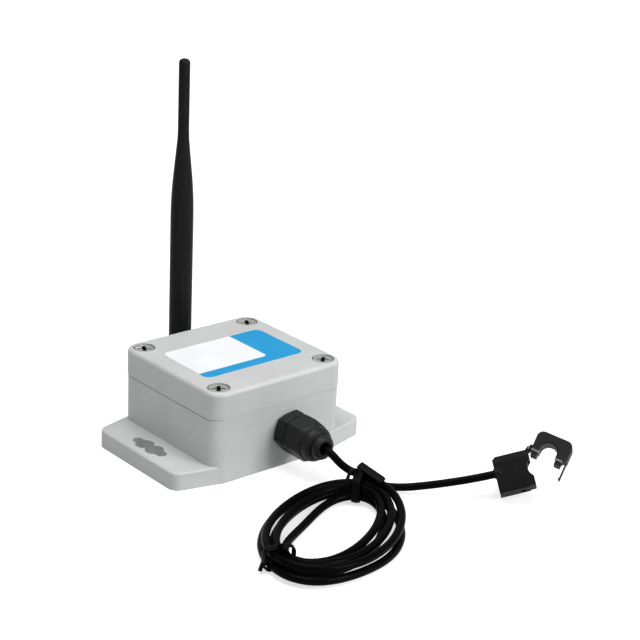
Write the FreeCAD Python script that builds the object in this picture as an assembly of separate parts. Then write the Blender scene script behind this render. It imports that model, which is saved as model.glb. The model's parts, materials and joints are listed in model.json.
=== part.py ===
import FreeCAD, Part
import math
import os

# Wireless current clamp meter: a flanged sensor box with a tilting whip antenna,
# a cable gland, a coiled lead and a small split-core clamp with a hinged jaw.
# Millimetres. The origin is the middle of the box's underside, +Z is up,
# X runs from flange to flange, the gland points to -Y and the antenna stands at +Y.

V = FreeCAD.Vector
X_AXIS = V(1, 0, 0)
Y_AXIS = V(0, 1, 0)
Z_AXIS = V(0, 0, 1)
ORIGIN = V(0, 0, 0)
SIDES = (-1, 1)

# Named clearances
RUNNING_GAP = 0.05
LOOSE_GAP = 0.1
SEAT_GAP = 0.3

# Box: base with two flanges, and a lid
BOX_LENGTH = 64.6
BOX_WIDTH = 61.6
SEAM_HEIGHT = 26.5
LID_HEIGHT = 11.1
LID_OVERHANG = 0.2
BOX_CORNER = 6.5
WALL = 3.2
FLOOR = 3.0
ROOF = 2.6
INNER_CORNER = 3.4
LID_EDGE_ROUND = 1.6
SEAM_CHAMFER = 0.35
FLANGE_SPAN = 94.0
FLANGE_END_WIDTH = 51.0
FLANGE_HEIGHT = 7.2
FLANGE_CORNER = 4.5
FLANGE_EDGE_ROUND = 0.8

# Fixing slot in each flange: a narrow slot with two round lobes for screw heads
SLOT_INSET = 6.8
SLOT_LENGTH = 20.0
SLOT_WIDTH = 4.3
LOBE_DIAMETER = 7.6
LOBE_SPACING = 6.4

# Lid screws, inserts and the seal between lid and base
SCREW_INSET = 6.3
SCREW_RADIUS = 2.0
SCREW_LENGTH = 16.0
SCREW_HEAD_RADIUS = 4.0
SCREW_HEAD_HEIGHT = 2.6
SCREW_HEAD_DEPTH = 0.2
COUNTERBORE_RADIUS = 4.5
RECESS_SPAN = 4.4
RECESS_WIDTH = 1.0
RECESS_DEPTH = 1.4
INSERT_RADIUS = 2.8
INSERT_LENGTH = 7.0
SCREW_TIP_ROOM = 1.2
POST_RADIUS = 5.7
SEAL_POST_RADIUS = 4.2
SEAL_INSET = 1.65
SEAL_WIDTH = 1.5
SEAL_HEIGHT = 1.3
TONGUE_WIDTH = 1.0
TONGUE_HEIGHT = 0.7

# Label on the lid
LABEL_LENGTH = 48.5
LABEL_WIDTH = 30.0
LABEL_CORNER = 3.0
LABEL_THICKNESS = 0.15

# Circuit board and what stands on it
BOARD_END_GAP = 1.1
BOARD_POST_GAP = 0.8
BOARD_MARGIN = 0.4
BOARD_LENGTH = BOX_LENGTH - 2 * (WALL + BOARD_END_GAP)
BOARD_WIDTH = BOX_WIDTH - 2 * (SCREW_INSET + POST_RADIUS + BOARD_POST_GAP)
BOARD_THICKNESS = 1.6
STANDOFF_HEIGHT = 5.0
STANDOFF_RADIUS = 2.6
STANDOFF_INSET_X = 4.0
STANDOFF_INSET_Y = 3.5
BOARD_SCREW_RADIUS = 1.1
BOARD_SCREW_LENGTH = 5.0
BOARD_SCREW_HEAD_RADIUS = 2.2
BOARD_SCREW_HEAD_HEIGHT = 1.4
BOARD_HOLE_RADIUS = 1.5
RADIO_LENGTH = 22.0
RADIO_WIDTH = 6.8
RADIO_HEIGHT = 2.6
RADIO_X = 19.0 - BOARD_LENGTH / 2
RADIO_Y = BOARD_WIDTH / 2 - BOARD_MARGIN - RADIO_WIDTH / 2
TERMINAL_PITCH = 5.08
TERMINAL_DEPTH = 7.6
TERMINAL_Y = TERMINAL_DEPTH / 2 + BOARD_MARGIN - BOARD_WIDTH / 2
TERMINAL_HEIGHT = 10.0
TERMINAL_ENTRY_RADIUS = 1.3
TERMINAL_ENTRY_HEIGHT = 3.2
TERMINAL_SCREW_RADIUS = 1.5
TERMINAL_SCREW_SINK = 0.8
TERMINAL_SCREW_LENGTH = 3.0
CHIP_ROW_Y = TERMINAL_Y + 1.3
CHIPS = ((11.0 - BOARD_LENGTH / 2, 7.0, 7.0, 1.0), (19.5 - BOARD_LENGTH / 2, 5.0, 4.0, 1.4),
         (BOARD_LENGTH / 2 - 9.5, 6.0, 5.0, 2.0))
HOLDER_FRONT_GAP = 3.05
HOLDER_BACK_GAP = 0.85
HOLDER_FRONT = TERMINAL_Y + TERMINAL_DEPTH / 2 + HOLDER_FRONT_GAP
HOLDER_BACK = RADIO_Y - RADIO_WIDTH / 2 - HOLDER_BACK_GAP
HOLDER_END_GAP = 0.65
HOLDER_FLOOR = 1.2
HOLDER_WALL = 1.2
HOLDER_GRIP = 2.05
CONTACT_THICKNESS = 0.5
CONTACT_BUMP_RADIUS = 2.2
CONTACT_BUMP = 0.4
CONTACT_INSET = 2.75
CELL_Y = (HOLDER_FRONT + HOLDER_BACK) / 2
CELL_RADIUS = (HOLDER_BACK - HOLDER_FRONT) / 2 - HOLDER_WALL
CELL_LENGTH = BOARD_LENGTH - 2 * (HOLDER_END_GAP + HOLDER_WALL + CONTACT_THICKNESS + CONTACT_BUMP)
CELL_BUTTON_RADIUS = 2.8
CELL_BUTTON_HEIGHT = 1.0
HOLDER_HEIGHT = HOLDER_FLOOR + CELL_RADIUS + HOLDER_GRIP
CONTACT_SIZE = 2 * (CELL_RADIUS - CONTACT_INSET)

# Cable gland in the front wall
GLAND_X = 4.3
GLAND_Z = 14.7
GLAND_ACROSS_FLATS = 15.0
GLAND_TURN = 12.0
GLAND_THREAD_RADIUS = 6.15
GLAND_GASKET_RADIUS = 7.2
GLAND_GASKET_THICKNESS = 0.8
GLAND_BODY_HEX = 4.8
GLAND_STUB = 8.4
GLAND_LOCKNUT_THICKNESS = 4.0
GLAND_NECK_RADIUS = 5.6
GLAND_NECK_END = 12.6
GLAND_NUT_START = 6.1
GLAND_NUT_HEX = 9.6
GLAND_NUT_CHAMFER = 1.3
GLAND_RING_RADIUS = 6.9
GLAND_RING_END = 18.7
GLAND_NOSE_RADIUS = 6.3
GLAND_LENGTH = 22.2
GLAND_MOUTH_RADIUS = 2.35
GLAND_SEAL_RADIUS = 3.9
GLAND_SEAL_START = 7.6
GLAND_SEAL_END = 15.6

# Antenna on the back wall
ANTENNA_X = 8.6
ANTENNA_Z = 15.5
JACK_RADIUS = 3.15
JACK_LENGTH = 8.4
JACK_HEX = 8.0
JACK_HEX_THICKNESS = 2.4
JACK_REAR_RADIUS = 1.6
JACK_REAR_LENGTH = 3.2
WASHER_RADIUS = 5.0
WASHER_THICKNESS = 0.6
JACK_NUT_THICKNESS = 2.2
ANTENNA_NUT_RADIUS = 5.0
ANTENNA_NUT_START = 3.0
ANTENNA_NUT_END = 10.0
ANTENNA_NUT_BACK = 1.0
ANTENNA_NUT_RIBS = 20
STEM_RADIUS = 2.5
STEM_FLANGE_RADIUS = 3.0
STEM_FLANGE_THICKNESS = 0.5
ANTENNA_COLLAR_RADIUS = 4.7
ANTENNA_COLLAR_THICKNESS = 1.5
TONGUE_THICKNESS = 4.0
TONGUE_ROUND = 4.1
WHIP_RADIUS = 4.75
WHIP_MIDDLE_RADIUS = 3.7
WHIP_TIP_RADIUS = 2.3
WHIP_TOP = 146.0
WHIP_TOP_ROUND = 1.7
WHIP_TAPER_START = 80.0
WHIP_TAPER_MIDDLE = 100.0
WHIP_TAPER_END = 114.0
WHIP_WALL = 1.5
WHIP_GROOVE_Z = 138.5
WHIP_GROOVE = 0.25
TILT_PIN_RADIUS = 1.25
RADIATOR_RADIUS = 0.9
COAX_RADIUS = 0.6

# Lead: one round cable from the gland through the coil to the clamp
CABLE_RADIUS = 1.55
CABLE_STRIPPED_GAP = 0.4
CABLE_FACE_DEPTH = 3.0
CABLE_INNER_END = GLAND_STUB + CABLE_STRIPPED_GAP - BOX_WIDTH / 2
GLAND_MOUTH = V(GLAND_X, -BOX_WIDTH / 2 - GLAND_LENGTH, GLAND_Z)
CABLE_FACE_Y = GLAND_MOUTH.y + CABLE_FACE_DEPTH
CONDUCTOR_RADIUS = 0.6
RUN_SHARE = 0.45

# Coil of the lead: an oval of five turns in two layers, tied at both ends
COIL_CENTRE = V(-22.4, -BOX_WIDTH / 2 - 57.6, 0)
COIL_HALF_LENGTH = 37.4
COIL_HALF_WIDTH = 24.8
COIL_HEADING = 30.0
COIL_FIRST_TURN = 0.013
COIL_LAST_TURN = 4.958
COIL_MIDDLE_TURN = 2.5
COIL_PITCH_TIED = 3.78
COIL_PITCH_FREE = 4.25
COIL_LAYER_STEP = 3.65
COIL_TIE_LIFT = 1.1
COIL_TIE_ANGLE = -4.0
COIL_START_LIFT = 1.6
COIL_LOOSE_INSET = 3.0
COIL_LOOSE_TURN = 2.75
COIL_LEAVING_TURN = 4.6
COIL_LEAVING_INSET = -1.2

# Twist ties round the coil
TIE_WIDTH = 3.2
TIE_THICKNESS = 0.7
TIE_CORNER = 2.3
TIE_ROOM = 0.75
TIE_TURNS = (4.99, 4.565)
TIE_TAIL_LENGTHS = (12.0, 5.0)
TIE_TAIL_TURNS = (-34.0, -90.0)
TIE_TAIL_LIFTS = (-8.0, 14.0)

# Split-core clamp, in its own frame: X from cable end to jaw, Y up to the hinge,
# Z through its thickness to the front face; its origin is the hinge-side end corner.
# The jaw's sizes are those of the closed clamp.
CLAMP_CORNER = V(63.0, -BOX_WIDTH / 2 - 72.4, 0)
CLAMP_HEADING = -39.9
CLAMP_PITCH = 17.5
CLAMP_LEAN_ANGLE = 38.8
CLAMP_LENGTH = 14.1
CLAMP_WIDTH = 14.6
CLAMP_THICKNESS = 9.0
CLAMP_WALL = 0.9
CLAMP_BEVEL_FRONT = 2.5
CLAMP_BEVEL_TOP = 1.6
CLAMP_BACK_BEVEL = 0.3
CLAMP_CABLE_CHAMFER = 1.3
CLAMP_LATCH_CHAMFER = 0.7
CLAMP_CABLE_Y = -6.4
CLAMP_CABLE_Z = 2.5
BOSS_RADIUS = 2.5
BOSS_LENGTH = 1.2
GROMMET_RADIUS = 2.0
PIN_X = 0.6
PIN_Y = 0.3
PIN_RADIUS = 0.35
KNUCKLE_RADIUS = 0.75
KNUCKLE_HALF = 1.9
EAR_END = 3.3
JAW_BASE = 1.12
JAW_SIDE = -0.8
JAW_HEIGHT = 7.7
JAW_WIDTH = 14.3
JAW_CORNER = 2.6
JAW_EDGE = 0.5
JAW_WALL = 0.7
JAW_OPEN_ANGLE = 52.3
WINDOW_RADIUS = 3.3
WINDOW_X = 2.0
WINDOW_Y = -7.2
NOTCH_RADIUS = 4.1
NOTCH_X = 2.45
CORE_LEG = 2.4
CORE_DEPTH = 5.2
CORE_SLEEVE = 0.3
CORE_CORNER = 1.6
CORE_STUB = 1.5
YOKE_X = -10.6
SPRING_THICKNESS = 0.25
SPRING_LENGTH = 6.4
SPRING_WIDTH = 3.6
PAD_THICKNESS = 0.8
TAB_REACH = 5.9
TAB_THICKNESS = 0.45
TAB_HALF = 2.0
TAB_BARB = 0.25
LATCH_GROOVE_END = 4.2
LATCH_GROOVE_DEPTH = 0.4
LATCH_RECESS = 2.4
BOBBIN_LENGTH = 6.8
BOBBIN_FLANGE = 0.4
BOBBIN_WALL = 0.3
WINDING_DEPTH = 0.6


def rounded_face(half_x, half_y, corner, z):
    """A flat rectangle with round corners, centred on the Z axis, at height z."""
    diagonal = corner * (1 - math.sqrt(0.5))
    edges = []
    for turn in range(4):
        hx, hy = (half_x, half_y) if turn % 2 == 0 else (half_y, half_x)
        points = [V(hx, -hy + corner, z), V(hx, hy - corner, z),
                  V(hx - diagonal, hy - diagonal, z), V(hx - corner, hy, z)]
        spin = FreeCAD.Rotation(Z_AXIS, 90 * turn)
        a, b, c, d = [spin.multVec(p) for p in points]
        edges.append(Part.LineSegment(a, b).toShape())
        edges.append(Part.Arc(b, c, d).toShape())
    return Part.Face(Part.Wire(edges))


def slab(half_x, half_y, corner, low, high):
    """A block with round upright corners between two heights."""
    return rounded_face(half_x, half_y, corner, low).extrude(V(0, 0, high - low))


def block(low, high):
    """A box from its lowest to its highest corner."""
    size = [high[i] - low[i] for i in range(3)]
    return Part.makeBox(size[0], size[1], size[2], V(*low))


def rod(radius, start, direction, length):
    """A round bar."""
    return Part.makeCylinder(radius, length, start, direction)


def turned(profile):
    """A closed outline of (radius, height) points spun round Z.
    A point with four numbers is reached by an arc through its last two."""
    edges = []
    last = profile[0]
    for point in list(profile[1:]) + [profile[0]]:
        start = V(last[0], 0, last[1])
        end = V(point[0], 0, point[1])
        if len(point) == 4:
            edges.append(Part.Arc(start, V(point[2], 0, point[3]), end).toShape())
        elif (end - start).Length > 1e-6:
            edges.append(Part.LineSegment(start, end).toShape())
        last = point
    return Part.Face(Part.Wire(edges)).revolve(ORIGIN, Z_AXIS, 360)


def hexagon(across_flats, low, high, turn=0.0):
    """An upright hexagonal bar."""
    radius = across_flats / math.sqrt(3)
    corners = [V(radius * math.cos(math.radians(60 * i + turn)),
                 radius * math.sin(math.radians(60 * i + turn)), low) for i in range(7)]
    return Part.Face(Part.makePolygon(corners)).extrude(V(0, 0, high - low))


def ring(outer, inner, low, high):
    """A flat round ring."""
    return Part.makeCylinder(outer, high - low, V(0, 0, low)).cut(
        Part.makeCylinder(inner, high - low, V(0, 0, low)))


def tube_along(points, radius, name):
    """A round tube on straight runs joined by arcs. Each arc takes its share of the shorter run."""
    edges = []
    start = points[0]
    least = 1e9
    for before, corner, after in zip(points, points[1:], points[2:]):
        a = (before - corner).normalize()
        b = (after - corner).normalize()
        turn = math.pi - a.getAngle(b)
        reach = RUN_SHARE * min((before - corner).Length, (after - corner).Length)
        bend = reach / math.tan(turn / 2)
        least = min(least, bend)
        inward = (a + b).normalize()
        middle = corner + inward * (bend / math.cos(turn / 2) - bend)
        first = corner + a * reach
        last = corner + b * reach
        edges.append(Part.LineSegment(start, first).toShape())
        edges.append(Part.Arc(first, middle, last).toShape())
        start = last
    edges.append(Part.LineSegment(start, points[-1]).toShape())
    return swept(edges, radius, name, least)


def swept(edges, radius, name, least_bend):
    """A round solid along joined edges, with its length and volume printed."""
    path = Part.Wire(edges)
    begin = edges[0].valueAt(edges[0].FirstParameter)
    direction = edges[0].tangentAt(edges[0].FirstParameter)
    section = Part.Wire([Part.Circle(begin, direction, radius).toShape()])
    solid = path.makePipeShell([section], True)
    ratio = solid.Volume / (math.pi * radius ** 2 * path.Length)
    print(name, "length", round(path.Length, 1), "least bend radius", round(least_bend, 2),
          "volume ratio", round(ratio, 4))
    return solid


def biarc(start, start_direction, end, end_direction):
    """Two arcs that leave start and reach end along the given directions."""
    chord = end - start
    both = start_direction + end_direction
    a = 2 * (start_direction.dot(end_direction) - 1)
    b = -2 * chord.dot(both)
    c = chord.dot(chord)
    reach = (-b - math.sqrt(b * b - 4 * a * c)) / (2 * a)
    joint = (start + start_direction * reach + end - end_direction * reach) * 0.5
    edges = []
    least = 1e9
    for point, direction, target, sense in ((start, start_direction, joint, 1),
                                            (end, end_direction * -1, joint, -1)):
        span = target - point
        across = span - direction * span.dot(direction)
        bend = span.dot(span) / (2 * across.Length)
        centre = point + across.normalize() * bend
        toward = ((point - centre) + (target - centre)).normalize()
        middle = centre + toward * bend
        first, last = (point, target) if sense == 1 else (target, point)
        edges.append(Part.Arc(first, middle, last).toShape())
        least = min(least, bend)
    return edges, least


def corner_posts(radius):
    """The four corner areas outside the seal, each round its screw and open to the box's corner."""
    posts = []
    tall = SEAM_HEIGHT + LID_HEIGHT
    for sx in SIDES:
        for sy in SIDES:
            far = 2 * SCREW_INSET
            post = rod(radius, ORIGIN, Z_AXIS, tall)
            wide = block((0, -radius, 0), (far, far, tall))
            deep = block((-radius, 0, 0), (far, far, tall))
            for shape in (post, wide, deep):
                if sx < 0:
                    shape = shape.mirror(ORIGIN, X_AXIS)
                if sy < 0:
                    shape = shape.mirror(ORIGIN, Y_AXIS)
                shape.translate(V(sx * (BOX_LENGTH / 2 - SCREW_INSET), sy * (BOX_WIDTH / 2 - SCREW_INSET), 0))
                posts.append(shape)
    return posts


def room(inset, post_radius, low, high):
    """The plan of the inside at an inset from the walls, less the corner posts, as a solid."""
    corner = max(INNER_CORNER, BOX_CORNER - inset)
    plan = slab(BOX_LENGTH / 2 - inset, BOX_WIDTH / 2 - inset, corner, low, high)
    return plan.cut(corner_posts(post_radius))


def seal_ring(width, low, high):
    """A band of one width that follows the wall and passes inside the screws."""
    outer = room(SEAL_INSET - width / 2, SEAL_POST_RADIUS - width / 2, low, high)
    inner = room(SEAL_INSET + width / 2, SEAL_POST_RADIUS + width / 2, low, high)
    return outer.cut(inner)


def screw_places():
    """Centres of the four lid screws."""
    return [(sx * (BOX_LENGTH / 2 - SCREW_INSET), sy * (BOX_WIDTH / 2 - SCREW_INSET))
            for sx in SIDES for sy in SIDES]


def standoff_places():
    """Centres of the four board screws."""
    return [(sx * (BOARD_LENGTH / 2 - STANDOFF_INSET_X), sy * (BOARD_WIDTH / 2 - STANDOFF_INSET_Y))
            for sx in SIDES for sy in SIDES]


def insert_base():
    """Height of the lower end of the threaded inserts."""
    return SEAM_HEIGHT - INSERT_LENGTH


def head_seat():
    """Height of the face under the lid screws' heads."""
    return SEAM_HEIGHT + LID_HEIGHT - SCREW_HEAD_HEIGHT - SCREW_HEAD_DEPTH


def board_top():
    """Height of the board's upper face."""
    return FLOOR + STANDOFF_HEIGHT + BOARD_THICKNESS


def front_wall(shape):
    """Moves a piece made on the Z axis to the gland, its +Z pointing out of the front wall."""
    shape.rotate(ORIGIN, X_AXIS, 90)
    shape.translate(V(GLAND_X, -BOX_WIDTH / 2, GLAND_Z))
    return shape


def back_wall(shape):
    """Moves a piece made on the Z axis to the antenna port, its +Z pointing out of the back wall."""
    shape.rotate(ORIGIN, X_AXIS, -90)
    shape.translate(V(ANTENNA_X, BOX_WIDTH / 2, ANTENNA_Z))
    return shape


def flange(side):
    """One fixing flange with a tapered plan, round ends and its double keyhole slot."""
    near = BOX_LENGTH / 2 - BOX_CORNER
    far = FLANGE_SPAN / 2
    wide = BOX_WIDTH / 2
    end = FLANGE_END_WIDTH / 2
    plan = Part.makePolygon([V(side * near, -wide, 0), V(side * far, -end, 0), V(side * far, end, 0),
                             V(side * near, wide, 0), V(side * near, -wide, 0)])
    plate = Part.Face(plan).extrude(V(0, 0, FLANGE_HEIGHT))
    ends = [e for e in plate.Edges if abs(e.CenterOfMass.x - side * far) < 0.01
            and abs(e.CenterOfMass.z - FLANGE_HEIGHT / 2) < 0.01]
    plate = plate.makeFillet(FLANGE_CORNER, ends)
    rim = [e for e in plate.Edges if e.BoundBox.ZMin > FLANGE_HEIGHT - 0.01
           and abs(e.CenterOfMass.x - side * near) > 0.01]
    plate = plate.makeFillet(FLANGE_EDGE_ROUND, rim)
    x = side * (FLANGE_SPAN / 2 - SLOT_INSET)
    slot = slab(SLOT_WIDTH / 2, SLOT_LENGTH / 2, SLOT_WIDTH / 2 - 0.001, -1, FLANGE_HEIGHT + 1)
    cuts = [slot]
    for sy in SIDES:
        cuts.append(rod(LOBE_DIAMETER / 2, V(0, sy * LOBE_SPACING / 2, -1), Z_AXIS, FLANGE_HEIGHT + 2))
    for cut in cuts:
        cut.translate(V(x, 0, 0))
    return plate.cut(cuts)


def base_shell():
    """The lower box with its flanges, corner posts, seal groove, board standoffs and wall holes."""
    outer = slab(BOX_LENGTH / 2, BOX_WIDTH / 2, BOX_CORNER, 0, SEAM_HEIGHT)
    rim = [e for e in outer.Edges if e.BoundBox.ZMin > SEAM_HEIGHT - 0.01]
    outer = outer.makeChamfer(SEAM_CHAMFER, rim)
    shell = outer.fuse([flange(side) for side in SIDES])
    shell = shell.cut(room(WALL, POST_RADIUS, FLOOR, SEAM_HEIGHT + 1))
    groove_floor = SEAM_HEIGHT - SEAL_HEIGHT - TONGUE_HEIGHT
    cuts = [seal_ring(SEAL_WIDTH, groove_floor, SEAM_HEIGHT + 1)]
    for x, y in screw_places():
        cuts.append(rod(INSERT_RADIUS, V(x, y, insert_base()), Z_AXIS, INSERT_LENGTH + 1))
        tip = head_seat() - SCREW_LENGTH - SCREW_TIP_ROOM
        cuts.append(rod(SCREW_RADIUS + LOOSE_GAP, V(x, y, tip), Z_AXIS, INSERT_LENGTH + SCREW_TIP_ROOM + 2))
    cuts.append(front_wall(rod(GLAND_THREAD_RADIUS + LOOSE_GAP, V(0, 0, -WALL - 1), Z_AXIS, WALL + 2)))
    cuts.append(back_wall(rod(JACK_RADIUS + LOOSE_GAP, V(0, 0, -WALL - 1), Z_AXIS, WALL + 2)))
    shell = shell.cut(cuts)
    posts = []
    for x, y in standoff_places():
        post = rod(STANDOFF_RADIUS, V(x, y, FLOOR), Z_AXIS, STANDOFF_HEIGHT)
        depth = BOARD_SCREW_LENGTH - BOARD_THICKNESS + LOOSE_GAP
        posts.append(post.cut(rod(BOARD_SCREW_RADIUS, V(x, y, FLOOR + STANDOFF_HEIGHT - depth), Z_AXIS, depth)))
    return shell.fuse(posts).removeSplitter()


def lid_shell():
    """The lid with counterbored screw posts and a tongue that presses on the seal."""
    top = SEAM_HEIGHT + LID_HEIGHT
    half_x = BOX_LENGTH / 2 + LID_OVERHANG
    half_y = BOX_WIDTH / 2 + LID_OVERHANG
    outer = slab(half_x, half_y, BOX_CORNER + LID_OVERHANG, SEAM_HEIGHT, top)
    outer = outer.makeFillet(LID_EDGE_ROUND, [e for e in outer.Edges if e.BoundBox.ZMin > top - 0.01])
    outer = outer.makeChamfer(SEAM_CHAMFER, [e for e in outer.Edges if e.BoundBox.ZMax < SEAM_HEIGHT + 0.01])
    shell = outer.cut(room(WALL, POST_RADIUS, SEAM_HEIGHT - 1, top - ROOF))
    shell = shell.fuse(seal_ring(TONGUE_WIDTH, SEAM_HEIGHT - TONGUE_HEIGHT, SEAM_HEIGHT + 1))
    cuts = []
    for x, y in screw_places():
        cuts.append(rod(SCREW_RADIUS + LOOSE_GAP, V(x, y, SEAM_HEIGHT - 1), Z_AXIS, LID_HEIGHT))
        cuts.append(rod(COUNTERBORE_RADIUS, V(x, y, head_seat()), Z_AXIS, LID_HEIGHT))
    return shell.cut(cuts).removeSplitter()


def lid_seal():
    """The rubber cord in the base's groove."""
    top = SEAM_HEIGHT - TONGUE_HEIGHT
    return seal_ring(SEAL_WIDTH, top - SEAL_HEIGHT, top)


def lid_screws():
    """Four pan head screws with a cross recess."""
    screws = []
    for x, y in screw_places():
        h = SCREW_HEAD_HEIGHT
        r = SCREW_HEAD_RADIUS
        screw = turned([(0, -SCREW_LENGTH), (SCREW_RADIUS - 0.6, -SCREW_LENGTH),
                        (SCREW_RADIUS, 0.6 - SCREW_LENGTH), (SCREW_RADIUS, 0), (r, 0), (r, 0.45 * h),
                        (0.55 * r, h, 0.86 * r, 0.88 * h), (0, h)])
        cross = []
        for turn in (0, 90):
            bar = block((-RECESS_SPAN / 2, -RECESS_WIDTH / 2, h - RECESS_DEPTH),
                        (RECESS_SPAN / 2, RECESS_WIDTH / 2, h + 1))
            bar.rotate(ORIGIN, Z_AXIS, turn + 12 * x / abs(x) + 20 * y / abs(y))
            cross.append(bar)
        screw = screw.cut(cross)
        screw.translate(V(x, y, head_seat()))
        screws.append(screw)
    return Part.Compound(screws)


def threaded_inserts():
    """Four brass inserts in the corner posts, each with a waist groove."""
    inserts = []
    for x, y in screw_places():
        insert = ring(INSERT_RADIUS, SCREW_RADIUS + RUNNING_GAP, 0, INSERT_LENGTH)
        waist = ring(INSERT_RADIUS + 1, INSERT_RADIUS - 0.3, INSERT_LENGTH * 0.4, INSERT_LENGTH * 0.6)
        insert = insert.cut(waist)
        insert.translate(V(x, y, insert_base()))
        inserts.append(insert)
    return Part.Compound(inserts)


def lid_label():
    """The blank adhesive label on the lid."""
    top = SEAM_HEIGHT + LID_HEIGHT
    return slab(LABEL_LENGTH / 2, LABEL_WIDTH / 2, LABEL_CORNER, top, top + LABEL_THICKNESS)


def circuit_board():
    """The main board with its four screw holes."""
    low = FLOOR + STANDOFF_HEIGHT
    board = slab(BOARD_LENGTH / 2, BOARD_WIDTH / 2, 1.5, low, low + BOARD_THICKNESS)
    return board.cut([rod(BOARD_HOLE_RADIUS, V(x, y, 0), Z_AXIS, SEAM_HEIGHT) for x, y in standoff_places()])


def board_screws():
    """Four small screws that hold the board on its standoffs."""
    screws = []
    for x, y in standoff_places():
        head = rod(BOARD_SCREW_HEAD_RADIUS, V(x, y, board_top()), Z_AXIS, BOARD_SCREW_HEAD_HEIGHT)
        shank = rod(BOARD_SCREW_RADIUS, V(x, y, board_top() - BOARD_SCREW_LENGTH), Z_AXIS, BOARD_SCREW_LENGTH)
        slot = block((x - 1.5, y - 0.3, board_top() + 0.7), (x + 1.5, y + 0.3, board_top() + 3))
        screws.append(head.fuse(shank).cut(slot))
    return Part.Compound(screws)


def cell_height():
    """Height of the battery cell's axis."""
    return board_top() + HOLDER_FLOOR + CELL_RADIUS


def holder_half():
    """Half of the battery holder's inside length."""
    return CELL_LENGTH / 2 + CONTACT_THICKNESS + CONTACT_BUMP


def battery_cell():
    """The cylindrical lithium cell with its raised terminal."""
    start = V(-CELL_LENGTH / 2, CELL_Y, cell_height())
    can = rod(CELL_RADIUS, start, X_AXIS, CELL_LENGTH - CELL_BUTTON_HEIGHT)
    button = rod(CELL_BUTTON_RADIUS, start, X_AXIS, CELL_LENGTH)
    return can.fuse(button)


def battery_holder():
    """A trough with end walls, open at the top."""
    half_y = CELL_RADIUS + HOLDER_WALL
    half_x = holder_half() + HOLDER_WALL
    low = board_top()
    body = block((-half_x, CELL_Y - half_y, low), (half_x, CELL_Y + half_y, low + HOLDER_HEIGHT))
    bed = rod(CELL_RADIUS, V(-holder_half(), CELL_Y, cell_height()), X_AXIS, 2 * holder_half())
    return body.cut(bed)


def battery_contacts():
    """Two sheet contacts between the cell's ends and the holder's end walls."""
    contacts = []
    for side in SIDES:
        outer = holder_half()
        half = CONTACT_SIZE / 2
        plate = block((outer - CONTACT_THICKNESS, CELL_Y - half, cell_height() - half),
                      (outer, CELL_Y + half, cell_height() + half))
        bump = rod(CONTACT_BUMP_RADIUS, V(outer - CONTACT_THICKNESS - CONTACT_BUMP, CELL_Y, cell_height()),
                   X_AXIS, CONTACT_BUMP)
        contact = plate.fuse(bump)
        if side < 0:
            contact = contact.mirror(ORIGIN, X_AXIS)
        contacts.append(contact)
    return Part.Compound(contacts)


def radio_module():
    """The radio board with a stepped shield can."""
    low = board_top()
    base = block((RADIO_X - RADIO_LENGTH / 2, RADIO_Y - RADIO_WIDTH / 2, low),
                 (RADIO_X + RADIO_LENGTH / 2, RADIO_Y + RADIO_WIDTH / 2, low + 0.8))
    can = block((RADIO_X - RADIO_LENGTH / 2 + 1, RADIO_Y - RADIO_WIDTH / 2 + 0.6, low + 0.8),
                (RADIO_X + RADIO_LENGTH / 2 - 5, RADIO_Y + RADIO_WIDTH / 2 - 0.6, low + RADIO_HEIGHT))
    socket = rod(1.0, V(RADIO_X + RADIO_LENGTH / 2 - 2.4, RADIO_Y, low + 0.8), Z_AXIS, 1.0)
    return base.fuse([can, socket])


def board_chips():
    """The measuring circuit's larger parts."""
    chips = []
    for x, length, width, height in CHIPS:
        chips.append(block((x - length / 2, CHIP_ROW_Y - width / 2, board_top()),
                           (x + length / 2, CHIP_ROW_Y + width / 2, board_top() + height)))
    return Part.Compound(chips)


def terminal_ways():
    """X of the two terminals that take the lead's conductors."""
    return [GLAND_X - TERMINAL_PITCH / 2, GLAND_X + TERMINAL_PITCH / 2]


def terminal_front():
    """Y of the terminal block's entry face."""
    return TERMINAL_Y - TERMINAL_DEPTH / 2


def terminal_block():
    """A two-way screw terminal with round entries and open screw wells."""
    low = board_top()
    body = block((GLAND_X - TERMINAL_PITCH, terminal_front(), low),
                 (GLAND_X + TERMINAL_PITCH, terminal_front() + TERMINAL_DEPTH, low + TERMINAL_HEIGHT))
    cuts = []
    for x in terminal_ways():
        cuts.append(rod(TERMINAL_ENTRY_RADIUS, V(x, terminal_front(), low + TERMINAL_ENTRY_HEIGHT),
                        Y_AXIS, TERMINAL_DEPTH * 0.7))
        cuts.append(rod(TERMINAL_SCREW_RADIUS, V(x, TERMINAL_Y, low + TERMINAL_ENTRY_HEIGHT + 1.6),
                        Z_AXIS, TERMINAL_HEIGHT))
    return body.cut(cuts)


def terminal_screws():
    """The two clamping screws in the terminal block."""
    screws = []
    for x in terminal_ways():
        top = board_top() + TERMINAL_HEIGHT - TERMINAL_SCREW_SINK
        screw = rod(TERMINAL_SCREW_RADIUS, V(x, TERMINAL_Y, top - TERMINAL_SCREW_LENGTH),
                    Z_AXIS, TERMINAL_SCREW_LENGTH)
        screws.append(screw.cut(block((x - 2, TERMINAL_Y - 0.25, top - 0.8), (x + 2, TERMINAL_Y + 0.25, top + 1))))
    return Part.Compound(screws)


def board_conductors():
    """The lead's two insulated conductors from the end of its sheath to the terminals."""
    wires = []
    height = board_top() + TERMINAL_ENTRY_HEIGHT
    for side, x in zip(SIDES, terminal_ways()):
        near = GLAND_X + side * CONDUCTOR_RADIUS
        points = [V(near, CABLE_INNER_END, GLAND_Z),
                  V(near, CABLE_INNER_END + 1.2, GLAND_Z),
                  V(x, terminal_front() - 0.6, height),
                  V(x, terminal_front() + 2.0, height)]
        wires.append(tube_along(points, CONDUCTOR_RADIUS - 0.02, "conductor"))
    return Part.Compound(wires)


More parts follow.
